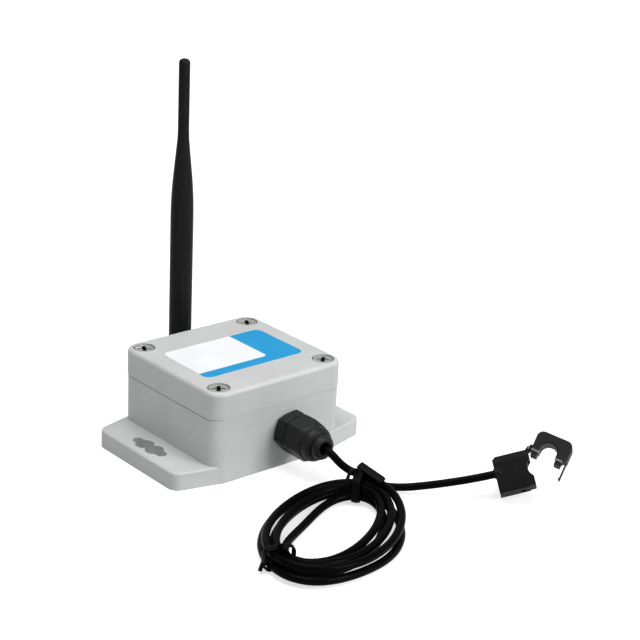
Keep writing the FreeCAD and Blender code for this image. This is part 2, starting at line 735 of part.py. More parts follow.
def antenna_coax():
    """The thin coaxial lead from the radio module to the antenna jack."""
    y = BOX_WIDTH / 2 - WALL - JACK_HEX_THICKNESS - JACK_REAR_LENGTH
    socket_x = RADIO_X + RADIO_LENGTH / 2 - 2.4
    low = board_top() + 1.8
    points = [V(ANTENNA_X, y, ANTENNA_Z), V(ANTENNA_X, y - 2.4, ANTENNA_Z),
              V(ANTENNA_X - 3.0, RADIO_Y + 1.6, ANTENNA_Z + 0.4), V(socket_x, RADIO_Y, low + 3.0),
              V(socket_x, RADIO_Y, low)]
    return tube_along(points, COAX_RADIUS, "antenna coax")


def gland_body():
    """The gland's threaded stub, hexagon and slotted neck, bored for the cable and seal."""
    hex_low = GLAND_GASKET_THICKNESS
    hex_high = hex_low + GLAND_BODY_HEX
    body = hexagon(GLAND_ACROSS_FLATS, hex_low, hex_high, GLAND_TURN)
    wide = GLAND_ACROSS_FLATS / math.sqrt(3)
    body = body.common(turned([(0, hex_low), (wide - 0.5, hex_low), (wide, hex_low + 0.5),
                               (wide, hex_high - 0.7), (wide - 1.0, hex_high), (0, hex_high)]))
    stub = rod(GLAND_THREAD_RADIUS, V(0, 0, -GLAND_STUB), Z_AXIS, GLAND_STUB + hex_low)
    neck = rod(GLAND_NECK_RADIUS, V(0, 0, hex_high), Z_AXIS, GLAND_NECK_END - hex_high)
    body = body.fuse([stub, neck])
    bore = rod(CABLE_RADIUS + SEAT_GAP, V(0, 0, -GLAND_STUB - 1), Z_AXIS, GLAND_LENGTH)
    pocket = rod(GLAND_SEAL_RADIUS, V(0, 0, GLAND_SEAL_START), Z_AXIS, GLAND_LENGTH)
    return front_wall(body.cut([bore, pocket]))


def gland_gasket():
    """The flat washer between the gland and the wall."""
    return front_wall(ring(GLAND_GASKET_RADIUS, GLAND_THREAD_RADIUS, 0, GLAND_GASKET_THICKNESS))


def gland_locknut():
    """The hexagonal nut inside the box."""
    nut = hexagon(GLAND_ACROSS_FLATS, -WALL - GLAND_LOCKNUT_THICKNESS, -WALL, 30)
    return front_wall(nut.cut(rod(GLAND_THREAD_RADIUS, V(0, 0, -GLAND_STUB - 1), Z_AXIS, GLAND_STUB + 2)))


def gland_seal():
    """The rubber sleeve that grips the cable."""
    return front_wall(ring(GLAND_SEAL_RADIUS, CABLE_RADIUS, GLAND_SEAL_START, GLAND_SEAL_END))


def gland_cap_nut():
    """The cap nut: a hexagon that turns into a collar and a round nose with the cable's mouth."""
    wide = GLAND_ACROSS_FLATS / math.sqrt(3)
    hex_end = GLAND_NUT_START + GLAND_NUT_HEX
    bar = hexagon(GLAND_ACROSS_FLATS, GLAND_NUT_START, hex_end, GLAND_TURN)
    bar = bar.common(turned([(0, GLAND_NUT_START), (wide - 0.6, GLAND_NUT_START),
                             (wide, GLAND_NUT_START + 0.4), (wide, hex_end - GLAND_NUT_CHAMFER),
                             (GLAND_RING_RADIUS, hex_end), (0, hex_end)]))
    step = GLAND_RING_RADIUS - 0.25
    shoulder = GLAND_RING_END - 0.6
    nose_end = GLAND_LENGTH
    nose = turned([(0, hex_end - 1), (step, hex_end - 1), (step, hex_end), (GLAND_RING_RADIUS - 0.1, hex_end + 0.3),
                   (GLAND_RING_RADIUS - 0.2, shoulder), (GLAND_NOSE_RADIUS, GLAND_RING_END),
                   (GLAND_NOSE_RADIUS - 0.1, GLAND_RING_END + 1.6),
                   (GLAND_MOUTH_RADIUS + 1.0, nose_end, GLAND_NOSE_RADIUS - 1.0, nose_end - 1.4), (0, nose_end)])
    nut = bar.fuse(nose)
    inside = GLAND_NECK_RADIUS + RUNNING_GAP
    grip = GLAND_SEAL_RADIUS + SEAT_GAP
    hollow = turned([(0, GLAND_NUT_START - 1), (inside, GLAND_NUT_START - 1), (inside, GLAND_NECK_END + SEAT_GAP),
                     (grip, GLAND_NECK_END + 1.0), (grip, GLAND_SEAL_END + SEAT_GAP),
                     (GLAND_MOUTH_RADIUS, GLAND_SEAL_END + 2.2), (GLAND_MOUTH_RADIUS, nose_end - 0.5),
                     (GLAND_MOUTH_RADIUS + 0.5, nose_end), (GLAND_MOUTH_RADIUS + 0.5, nose_end + 1),
                     (0, nose_end + 1)])
    return front_wall(nut.cut(hollow))


def sma_jack():
    """The bulkhead coaxial jack: inner hexagon, threaded barrel and solder tail."""
    inner = -WALL - JACK_HEX_THICKNESS
    jack = hexagon(JACK_HEX, inner, -WALL)
    barrel = rod(JACK_RADIUS, V(0, 0, -WALL), Z_AXIS, JACK_LENGTH + WALL)
    tail = rod(JACK_REAR_RADIUS, V(0, 0, inner - JACK_REAR_LENGTH), Z_AXIS, JACK_REAR_LENGTH)
    socket = rod(JACK_RADIUS - 0.8, V(0, 0, JACK_LENGTH - 3.0), Z_AXIS, 4.0)
    return back_wall(jack.fuse([barrel, tail]).cut(socket))


def sma_washer():
    """The washer outside the wall."""
    return back_wall(ring(WASHER_RADIUS, JACK_RADIUS, 0, WASHER_THICKNESS))


def sma_nut():
    """The nut that holds the jack in the wall."""
    top = WASHER_THICKNESS + JACK_NUT_THICKNESS
    nut = hexagon(JACK_HEX, WASHER_THICKNESS, top)
    return back_wall(nut.cut(rod(JACK_RADIUS, V(0, 0, 0), Z_AXIS, top + 1)))


def antenna_nut():
    """The knurled coupling nut that runs on the jack's thread."""
    nut = turned([(0, ANTENNA_NUT_START), (ANTENNA_NUT_RADIUS - 0.4, ANTENNA_NUT_START),
                  (ANTENNA_NUT_RADIUS, ANTENNA_NUT_START + 0.4), (ANTENNA_NUT_RADIUS, ANTENNA_NUT_END - 0.4),
                  (ANTENNA_NUT_RADIUS - 0.4, ANTENNA_NUT_END), (0, ANTENNA_NUT_END)])
    shoulder = ANTENNA_NUT_END - ANTENNA_NUT_BACK
    cuts = [rod(JACK_RADIUS + RUNNING_GAP, V(0, 0, 0), Z_AXIS, shoulder),
            rod(STEM_RADIUS + RUNNING_GAP, V(0, 0, 0), Z_AXIS, ANTENNA_NUT_END + 1)]
    for i in range(ANTENNA_NUT_RIBS):
        angle = 2 * math.pi * i / ANTENNA_NUT_RIBS
        at = V((ANTENNA_NUT_RADIUS + 0.15) * math.cos(angle), (ANTENNA_NUT_RADIUS + 0.15) * math.sin(angle), 0)
        cuts.append(rod(0.45, at + V(0, 0, ANTENNA_NUT_START - 1), Z_AXIS, ANTENNA_NUT_END))
    return back_wall(nut.cut(cuts))


def collar_start():
    """Distance of the antenna's collar from the wall."""
    return ANTENNA_NUT_END + 0.2


def pin_reach():
    """Distance of the tilt pin from the wall, which lets the whip's foot clear the collar."""
    return collar_start() + ANTENNA_COLLAR_THICKNESS + WHIP_RADIUS + SEAT_GAP


def pin_centre():
    """Middle of the antenna's tilt pin."""
    return V(ANTENNA_X, BOX_WIDTH / 2 + pin_reach(), ANTENNA_Z)


def antenna_base():
    """The swivelling foot: a stem caught in the coupling nut, a collar and a flat tongue."""
    shoulder = ANTENNA_NUT_END - ANTENNA_NUT_BACK
    flange_start = shoulder - RUNNING_GAP - STEM_FLANGE_THICKNESS
    stem = rod(STEM_RADIUS, V(0, 0, flange_start), Z_AXIS, collar_start() - flange_start)
    keeper = rod(STEM_FLANGE_RADIUS, V(0, 0, flange_start), Z_AXIS, STEM_FLANGE_THICKNESS)
    collar = rod(ANTENNA_COLLAR_RADIUS, V(0, 0, collar_start()), Z_AXIS, ANTENNA_COLLAR_THICKNESS)
    half = TONGUE_THICKNESS / 2
    tongue = block((-half, -TONGUE_ROUND, collar_start()), (half, TONGUE_ROUND, pin_reach()))
    tip = rod(TONGUE_ROUND, V(-half, 0, pin_reach()), X_AXIS, TONGUE_THICKNESS)
    foot = stem.fuse([keeper, collar, tongue, tip])
    hole = rod(TILT_PIN_RADIUS + RUNNING_GAP, V(-WHIP_RADIUS, 0, pin_reach()), X_AXIS, 2 * WHIP_RADIUS)
    return back_wall(foot.cut(hole).removeSplitter())


def antenna_hinge_pin():
    """The pin that the whip tilts on."""
    length = 2 * WHIP_RADIUS - 1.2
    return rod(TILT_PIN_RADIUS, pin_centre() - V(length / 2, 0, 0), X_AXIS, length)


def slot_top():
    """Height of the top of the fork's slot in the whip's foot."""
    return ANTENNA_Z + TONGUE_ROUND + SEAT_GAP


def antenna_sheath():
    """The whip's moulded sheath: a forked foot, a long full stretch, a taper and a thin tip. The taper starts as
    an arc off the full stretch, whose middle lies a quarter of the way in, and goes on straight."""
    r = WHIP_RADIUS
    m = WHIP_MIDDLE_RADIUS
    t = WHIP_TIP_RADIUS
    z = ANTENNA_Z
    g = WHIP_GROOVE
    d = WHIP_TOP_ROUND
    arc_middle = (WHIP_TAPER_START + WHIP_TAPER_MIDDLE) / 2
    outer = turned([(0, z), (r, z), (r, WHIP_TAPER_START), (m, WHIP_TAPER_MIDDLE, r - (r - m) / 4, arc_middle),
                    (t + 0.14, WHIP_TAPER_END - 1), (t, WHIP_TAPER_END + 3),
                    (t, WHIP_GROOVE_Z - g), (t - g, WHIP_GROOVE_Z), (t, WHIP_GROOVE_Z + g),
                    (t, WHIP_TOP - d), (t - d, WHIP_TOP, t - d + 0.7071 * d, WHIP_TOP - d + 0.7071 * d),
                    (0, WHIP_TOP)])
    foot = rod(r, V(0, 0, z - r), Z_AXIS, r + 1).common(rod(r, V(-r, 0, z), X_AXIS, 2 * r))
    whip = outer.fuse(foot)
    half = TONGUE_THICKNESS / 2 + LOOSE_GAP
    cuts = [block((-half, -r - 1, z - r - 1), (half, r + 1, slot_top())),
            rod(TILT_PIN_RADIUS, V(-r + 0.6, 0, z), X_AXIS, 2 * r - 1.2),
            rod(RADIATOR_RADIUS, V(0, 0, slot_top() + 1), Z_AXIS, WHIP_TOP - 6 - slot_top())]
    hollow = turned([(RADIATOR_RADIUS, slot_top() + 3), (r - WHIP_WALL, slot_top() + 3),
                     (r - WHIP_WALL, WHIP_TAPER_START - 4), (RADIATOR_RADIUS + 0.3, WHIP_TAPER_END - 8),
                     (RADIATOR_RADIUS, WHIP_TAPER_END - 8)])
    whip = whip.cut(cuts + [hollow])
    whip.translate(V(pin_centre().x, pin_centre().y, 0))
    return whip.removeSplitter()


def antenna_radiator():
    """The conductor inside the whip."""
    start = V(pin_centre().x, pin_centre().y, slot_top() + 1)
    return rod(RADIATOR_RADIUS, start, Z_AXIS, WHIP_TOP - 6 - slot_top())


def coil_point(turns):
    """A point of the coil's centre line after some turns, seen from above running clockwise.
    The oval's inset grows by one pitch a turn to the middle of the coil and shrinks again after it.
    The upper layer comes first, and the change of layer takes the half turn in the middle.
    One innermost turn lies loose, and both ends part from the others where the lead joins and leaves."""
    angle = math.radians(-360 * turns)
    free = math.sin(angle - math.radians(COIL_TIE_ANGLE)) ** 2
    rank = COIL_MIDDLE_TURN - abs(turns - COIL_MIDDLE_TURN)
    inset = rank * (COIL_PITCH_TIED + (COIL_PITCH_FREE - COIL_PITCH_TIED) * free)
    stray = abs(turns - COIL_LOOSE_TURN)
    if stray < 0.5:
        inset += COIL_LOOSE_INSET * math.cos(math.pi * stray) ** 2
    leaving = max(0, turns - COIL_LEAVING_TURN) / (COIL_LAST_TURN - COIL_LEAVING_TURN)
    inset += COIL_LEAVING_INSET * leaving ** 2
    x = (COIL_HALF_LENGTH - inset) * math.cos(angle)
    y = (COIL_HALF_WIDTH - inset) * math.sin(angle)
    fall = min(max((turns - COIL_MIDDLE_TURN) * 2 + 0.5, 0), 1)
    height = CABLE_RADIUS + COIL_TIE_LIFT * (1 - free)
    height += COIL_LAYER_STEP * (1 - fall * fall * (3 - 2 * fall))
    height += COIL_START_LIFT * max(0, 1 - 4 * turns) ** 2
    spin = FreeCAD.Rotation(Z_AXIS, COIL_HEADING)
    return COIL_CENTRE + spin.multVec(V(x, y, height))


def coil_direction(turns):
    """Direction of the coil's centre line."""
    step = 0.001
    return (coil_point(turns + step) - coil_point(turns - step)).normalize()


def coil_start():
    """Centre of the coil's first end face, one diameter before its first turn."""
    return coil_point(COIL_FIRST_TURN) - coil_direction(COIL_FIRST_TURN) * (2 * CABLE_RADIUS)


def coil_end():
    """Centre of the coil's last end face, one diameter after its last turn."""
    return coil_point(COIL_LAST_TURN) + coil_direction(COIL_LAST_TURN) * (2 * CABLE_RADIUS)


def coil_edges():
    """The coil's centre line on quarter-turn biarcs with a straight end at each side, and its least bend."""
    edges = [Part.LineSegment(coil_start(), coil_point(COIL_FIRST_TURN)).toShape()]
    least = 1e9
    knots = [quarter / 4 for quarter in range(1, int(4 * COIL_LAST_TURN) + 1)]
    knots = [COIL_FIRST_TURN] + knots + [COIL_LAST_TURN]
    for a, b in zip(knots, knots[1:]):
        arcs, bend = biarc(coil_point(a), coil_direction(a), coil_point(b), coil_direction(b))
        edges += arcs
        least = min(least, bend)
    edges.append(Part.LineSegment(coil_point(COIL_LAST_TURN), coil_end()).toShape())
    return edges, least


def cable_coil():
    """The coil as one unbroken tube, with its least gap to itself printed."""
    edges, least = coil_edges()
    samples = []
    for edge in edges:
        count = max(2, int(edge.Length / 1.0))
        samples += edge.discretize(count + 1)[:-1]
    gap = 1e9
    skip = 24
    for i in range(len(samples)):
        for j in range(i + skip, len(samples)):
            gap = min(gap, (samples[i] - samples[j]).Length)
    print("coil least gap to itself", round(gap - 2 * CABLE_RADIUS, 3))
    return swept(edges, CABLE_RADIUS, "cable coil", least)


def lead_points():
    """Route of the lead from inside the gland's mouth down onto the coil's upper layer."""
    before = coil_start() - coil_direction(COIL_FIRST_TURN) * 3.3
    return [V(GLAND_X, CABLE_FACE_Y, GLAND_Z), GLAND_MOUTH + V(0, -0.6, 0), GLAND_MOUTH + V(0.3, -4.1, -1.1),
            GLAND_MOUTH + V(1.0, -7.25, -3.2), GLAND_MOUTH + V(2.85, -9.85, -5.35), before, coil_start()]


def tail_points():
    """Route of the lead along the floor from the coil and up into the clamp."""
    cable_end = clamp_point(V(-CLAMP_LENGTH + 1.4, CLAMP_CABLE_Y, CLAMP_CABLE_Z))
    before = clamp_point(V(-CLAMP_LENGTH - 4.3, CLAMP_CABLE_Y, CLAMP_CABLE_Z))
    after = coil_end() + coil_direction(COIL_LAST_TURN) * 7.5
    return [coil_end(), after, COIL_CENTRE + V(45.0, 11.8, 1.7), COIL_CENTRE + V(53.2, 5.6, CABLE_RADIUS),
            COIL_CENTRE + V(60.8, -1.8, 3.6), before, cable_end]


def cable_inner():
    """The lead's sheath inside the gland and the box."""
    return rod(CABLE_RADIUS, V(GLAND_X, CABLE_FACE_Y, GLAND_Z), Y_AXIS, CABLE_INNER_END - CABLE_FACE_Y)


def strand_crossings(place, along):
    """Where the lead's centre line passes the upright plane across a bundle of strands."""
    edges, _ = coil_edges()
    lead = coil_start() - coil_direction(COIL_FIRST_TURN) * 3.3
    tail = coil_end() + coil_direction(COIL_LAST_TURN) * 7.5
    edges.append(Part.LineSegment(lead, coil_start()).toShape())
    edges.append(Part.LineSegment(coil_end(), tail).toShape())
    crossings = []
    for edge in edges:
        points = edge.discretize(max(3, int(edge.Length) + 1))
        for a, b in zip(points, points[1:]):
            before = (a - place).dot(along)
            after = (b - place).dot(along)
            if before * after <= 0 and (a - place).Length < COIL_HALF_WIDTH:
                crossings.append(a + (b - a) * (before / (before - after)))
    return crossings


def twist_tie(turns, tail_length, tail_turn, tail_lift):
    """A flat strip bent into a closed band round all strands of the coil, with a twisted neck
    and a free end turned from the strands' direction and lifted or lowered."""
    strands = [turns - k for k in range(6) if turns - k > -0.02]
    place = V(0, 0, 0)
    along = V(0, 0, 0)
    for n in strands:
        place += coil_point(n) * (1 / len(strands))
        along += coil_direction(n)
    along.z = 0
    along.normalize()
    across = along.cross(Z_AXIS)
    near = strand_crossings(place, along)
    spread = [(p - place).dot(across) for p in near]
    heights = [p.z for p in near]
    half_wide = (max(spread) - min(spread)) / 2 + CABLE_RADIUS + TIE_ROOM
    half_high = (max(heights) - min(heights)) / 2 + CABLE_RADIUS + SEAT_GAP
    middle = place + across * ((max(spread) + min(spread)) / 2)
    middle.z = (max(heights) + min(heights)) / 2
    t = TIE_THICKNESS
    band = slab(half_wide + t, half_high + t, TIE_CORNER + t, -TIE_WIDTH / 2, TIE_WIDTH / 2)
    band = band.cut(slab(half_wide, half_high, TIE_CORNER, -TIE_WIDTH, TIE_WIDTH))
    top = half_high + t
    root = -half_wide * 0.35
    neck = rod(1.1, V(root, top - 0.3, 0), V(0, 1, 0), 1.6)
    strip = block((root - TIE_WIDTH / 2, top + 0.6, -tail_length), (root + TIE_WIDTH / 2, top + 0.6 + t, 1.1))
    strip.rotate(V(root, top + 0.6, 0), X_AXIS, tail_lift)
    strip.rotate(V(root, top + 0.6, 0), Y_AXIS, tail_turn)
    tie = band.fuse([neck, strip])
    tie.Placement = FreeCAD.Placement(middle, FreeCAD.Rotation(across, Z_AXIS, V(0, 0, 0), "XYZ"))
    print("tie at", [round(c, 2) for c in middle], "half size", round(half_wide, 2), round(half_high, 2),
          "strands", len(near))
    return tie.removeSplitter()


def clamp_rotation():
    """Turns the clamp's own frame into the part's frame."""
    heading = FreeCAD.Rotation(Z_AXIS, CLAMP_HEADING)
    pitch = FreeCAD.Rotation(Y_AXIS, -CLAMP_PITCH)
    lean = FreeCAD.Rotation(X_AXIS, 90 - CLAMP_LEAN_ANGLE)
    return heading.multiply(pitch).multiply(lean)


def clamp_origin():
    """The clamp's own origin, at the height that rests its lowest corner on the floor."""
    lowest = V(-CLAMP_LENGTH, -CLAMP_WIDTH, CLAMP_BACK_BEVEL - CLAMP_THICKNESS / 2)
    return CLAMP_CORNER - V(0, 0, clamp_rotation().multVec(lowest).z)


def clamp_point(point):
    """A point of the clamp's own frame in the part's frame."""
    return clamp_origin() + clamp_rotation().multVec(point)


def clamp_placed(shape):
    """Moves a piece from the clamp's own frame to its place."""
    shape.Placement = FreeCAD.Placement(clamp_origin(), clamp_rotation()).multiply(shape.Placement)
    return shape


def jaw_placed(shape):
    """Opens a piece of the jaw about the hinge pin, then moves it to its place."""
    shape.rotate(V(PIN_X, PIN_Y, 0), Z_AXIS, JAW_OPEN_ANGLE)
    return clamp_placed(shape)


def window_shape(grow, half):
    """The conductor's window: a round end and straight sides past the parting plane."""
    radius = WINDOW_RADIUS + grow
    round_end = rod(radius, V(WINDOW_X, WINDOW_Y, -half), Z_AXIS, 2 * half)
    mouth = block((-CORE_STUB - 1, WINDOW_Y - radius, -half), (WINDOW_X, WINDOW_Y + radius, half))
    return round_end.fuse(mouth)


def core_edges():
    """Y of the faces of the core's legs, from the hinge side's outer to the latch side's outer."""
    inner = WINDOW_RADIUS + CORE_SLEEVE
    return (WINDOW_Y + inner + CORE_LEG, WINDOW_Y + inner, WINDOW_Y - inner, WINDOW_Y - inner - CORE_LEG)


def jaw_top():
    """X of the jaw's outer end when closed."""
    return JAW_BASE + JAW_HEIGHT


def core_top():
    """X of the jaw core's outer end when closed."""
    return jaw_top() - JAW_WALL - SPRING_THICKNESS


def arch(low_x, top_x, grow, low_z, high_z):
    """The jaw core's outline as a solid: two legs and a round-cornered bridge over the window."""
    high, _, _, low = core_edges()
    middle = (high + low) / 2
    half_y = (high - low) / 2 + grow
    half_x = (top_x - low_x) / 2 + CORE_CORNER + grow + 1
    body = slab(half_x, half_y, CORE_CORNER + grow, low_z, high_z)
    body.translate(V(top_x - half_x, middle, 0))
    body = body.common(block((low_x, middle - half_y, low_z), (top_x, middle + half_y, high_z)))
    return body.cut(window_shape(CORE_SLEEVE - grow, 2 * CLAMP_THICKNESS))


def pocket_end():
    """X of the bottom of the pockets that the jaw's core drops into."""
    return -CORE_STUB - 2 * SEAT_GAP


def clamp_block():
    """The housing's outer form: a block with one wide bevel along the hinge side, cut end corners
    and a half-round boss over the cable."""
    half = CLAMP_THICKNESS / 2
    body = block((-CLAMP_LENGTH, -CLAMP_WIDTH, -half), (0, 0, half))
    upright = [e for e in body.Edges if e.BoundBox.ZLength > half]
    cable_end = [e for e in upright if e.CenterOfMass.x < -1 and e.CenterOfMass.y > -1]
    body = body.makeChamfer(CLAMP_CABLE_CHAMFER, cable_end)
    upright = [e for e in body.Edges if e.BoundBox.ZLength > half]
    jaw_end = [e for e in upright if e.CenterOfMass.x > -1 and e.CenterOfMass.y < -1]
    body = body.makeChamfer(CLAMP_LATCH_CHAMFER, jaw_end)
    along = [e for e in body.Edges if e.BoundBox.XLength > CLAMP_LENGTH / 2]
    body = body.makeChamfer(CLAMP_BACK_BEVEL, [e for e in along if e.CenterOfMass.z < 0])
    bevel = Part.makePolygon([V(-CLAMP_LENGTH - 1, -CLAMP_BEVEL_FRONT, half),
                              V(-CLAMP_LENGTH - 1, 0, half - CLAMP_BEVEL_TOP),
                              V(-CLAMP_LENGTH - 1, 1, half - CLAMP_BEVEL_TOP),
                              V(-CLAMP_LENGTH - 1, 1, half + 1), V(-CLAMP_LENGTH - 1, -CLAMP_BEVEL_FRONT, half + 1),
                              V(-CLAMP_LENGTH - 1, -CLAMP_BEVEL_FRONT, half)])
    body = body.cut(Part.Face(bevel).extrude(V(CLAMP_LENGTH + 2, 0, 0)))
    boss = rod(BOSS_RADIUS, V(-CLAMP_LENGTH, CLAMP_CABLE_Y, CLAMP_CABLE_Z), X_AXIS, BOSS_LENGTH)
    tip = Part.makeSphere(BOSS_RADIUS, V(BOSS_LENGTH - CLAMP_LENGTH, CLAMP_CABLE_Y, CLAMP_CABLE_Z))
    tip = tip.common(block((-CLAMP_LENGTH, -CLAMP_WIDTH, -half), (0, 0, CLAMP_THICKNESS)))
    return body.fuse([boss, tip])


def clamp_body():
    """The clamp's housing: open at the back, with core pockets, window notch, latch recess,
    cable hole and two hinge ears."""
    half = CLAMP_THICKNESS / 2
    high, high_in, low_in, low = core_edges()
    core_half = CORE_DEPTH / 2
    stub_half = core_half + SEAT_GAP
    wall = pocket_end() - 1.0
    winding = BOBBIN_WALL + WINDING_DEPTH + 2 * LOOSE_GAP
    groove = -CLAMP_WIDTH + LATCH_GROOVE_DEPTH
    cuts = [rod(NOTCH_RADIUS, V(NOTCH_X, WINDOW_Y, -half - 1), Z_AXIS, 2 * half + 2),
            Part.makeCone(NOTCH_RADIUS, NOTCH_RADIUS + 0.7, 0.7, V(NOTCH_X, WINDOW_Y, half - 0.7), Z_AXIS),
            block((pocket_end(), high_in - 1.4, -stub_half), (1, high + SEAT_GAP, stub_half)),
            block((pocket_end(), low - 0.7, -stub_half), (1, low_in + 0.6, stub_half)),
            block((-CLAMP_LENGTH + CLAMP_WALL, low - RUNNING_GAP, -half - 1),
                  (wall, high + RUNNING_GAP, core_half + RUNNING_GAP)),
            block((-CLAMP_LENGTH + CLAMP_WALL, low_in - LOOSE_GAP, -half - 1),
                  (YOKE_X + CORE_LEG + winding, high_in + LOOSE_GAP, core_half + winding)),
            block((wall - 1, low - RUNNING_GAP, -core_half), (0, low_in + RUNNING_GAP, core_half)),
            block((wall - 1, high_in - RUNNING_GAP, -core_half), (0, high + RUNNING_GAP, core_half)),
            block((-TAB_REACH - 0.2, -CLAMP_WIDTH - 1, -TAB_HALF - SEAT_GAP),
                  (-LATCH_GROOVE_END, groove, TAB_HALF + SEAT_GAP)),
            block((-LATCH_RECESS, -CLAMP_WIDTH - 1, -half), (1, groove, half)),
            rod(GROMMET_RADIUS, V(-CLAMP_LENGTH - 1, CLAMP_CABLE_Y, CLAMP_CABLE_Z), X_AXIS, 2.6)]
    ears = []
    for side in SIDES:
        start = KNUCKLE_HALF + LOOSE_GAP if side > 0 else -EAR_END
        length = EAR_END - KNUCKLE_HALF - LOOSE_GAP
        ears.append(rod(KNUCKLE_RADIUS, V(PIN_X, PIN_Y, start), Z_AXIS, length))
        web = Part.makePolygon([V(-2.6, -1.6, start), V(0, -1.6, start), V(0, PIN_Y - KNUCKLE_RADIUS, start),
                                V(PIN_X, PIN_Y - KNUCKLE_RADIUS, start), V(PIN_X, PIN_Y + KNUCKLE_RADIUS, start),
                                V(PIN_X - 0.4, PIN_Y + KNUCKLE_RADIUS - 0.1, start), V(-2.6, -1.6, start)])
        ears.append(Part.Face(web).extrude(V(0, 0, length)))
    body = clamp_block().fuse(ears).cut(cuts)
    knuckle_room = rod(KNUCKLE_RADIUS + 0.15, V(PIN_X, PIN_Y, -KNUCKLE_HALF - LOOSE_GAP), Z_AXIS,
                       2 * KNUCKLE_HALF + 2 * LOOSE_GAP)
    pin_hole = rod(PIN_RADIUS, V(PIN_X, PIN_Y, -EAR_END), Z_AXIS, 2 * EAR_END)
    return clamp_placed(body.cut([knuckle_room, pin_hole]).removeSplitter())


def clamp_back_cover():
    """The plate that closes the housing behind the winding."""
    high, _, _, low = core_edges()
    half = CLAMP_THICKNESS / 2
    cover = block((-CLAMP_LENGTH + CLAMP_WALL + RUNNING_GAP, low, -half),
                  (pocket_end() - 1.0 - RUNNING_GAP, high, -half + CLAMP_WALL))
    return clamp_placed(cover)


def clamp_lower_core():
    """The fixed half of the core, with its legs' faces just behind the jaw's."""
    high, high_in, low_in, low = core_edges()
    half = CORE_DEPTH / 2
    face = -CORE_STUB - RUNNING_GAP
    yoke = block((YOKE_X, low, -half), (YOKE_X + CORE_LEG, high, half))
    legs = [block((YOKE_X, high_in, -half), (face, high, half)),
            block((YOKE_X, low, -half), (face, low_in, half))]
    return clamp_placed(yoke.fuse(legs).removeSplitter())


def coil_former(margin_x, margin_z, length):
    """A block round the yoke between the legs."""
    return block((YOKE_X - margin_x, WINDOW_Y - length / 2, -CORE_DEPTH / 2 - margin_z),
                 (YOKE_X + CORE_LEG + margin_x, WINDOW_Y + length / 2, CORE_DEPTH / 2 + margin_z))


def clamp_bobbin():
    """The winding's plastic former with a flange at each end."""
    tall = BOBBIN_WALL + WINDING_DEPTH
    spool = coil_former(tall, tall, BOBBIN_LENGTH)
    waist = coil_former(tall + 1, tall + 1, BOBBIN_LENGTH - 2 * BOBBIN_FLANGE)
    waist = waist.cut(coil_former(BOBBIN_WALL, BOBBIN_WALL, BOBBIN_LENGTH))
    return clamp_placed(spool.cut([waist, coil_former(0, 0, BOBBIN_LENGTH + 1)]))


def clamp_winding():
    """The secondary winding as one closed form on its former."""
    depth = BOBBIN_WALL + WINDING_DEPTH - 0.1
    coil = coil_former(depth, depth, BOBBIN_LENGTH - 2 * BOBBIN_FLANGE)
    return clamp_placed(coil.cut(coil_former(BOBBIN_WALL, BOBBIN_WALL, BOBBIN_LENGTH)))


def clamp_conductors():
    """The lead's two conductors from its sheath to the winding."""
    wires = []
    start = -CLAMP_LENGTH + 1.4
    end = YOKE_X - BOBBIN_WALL - WINDING_DEPTH + 0.1
    for side in SIDES:
        wires.append(rod(0.3, V(start, CLAMP_CABLE_Y + side * 0.5, CLAMP_CABLE_Z), X_AXIS, end - start))
    return clamp_placed(Part.Compound(wires))


def clamp_grommet():
    """The rubber bush round the cable where it enters the clamp."""
    start = V(-CLAMP_LENGTH - 0.4, CLAMP_CABLE_Y, CLAMP_CABLE_Z)
    bush = rod(GROMMET_RADIUS, start, X_AXIS, CLAMP_WALL + 0.8)
    return clamp_placed(bush.cut(rod(CABLE_RADIUS, start, X_AXIS, CLAMP_LENGTH)))


def clamp_hinge_pin():
    """The steel pin of the jaw's hinge."""
    return clamp_placed(rod(PIN_RADIUS, V(PIN_X, PIN_Y, -EAR_END), Z_AXIS, 2 * EAR_END))


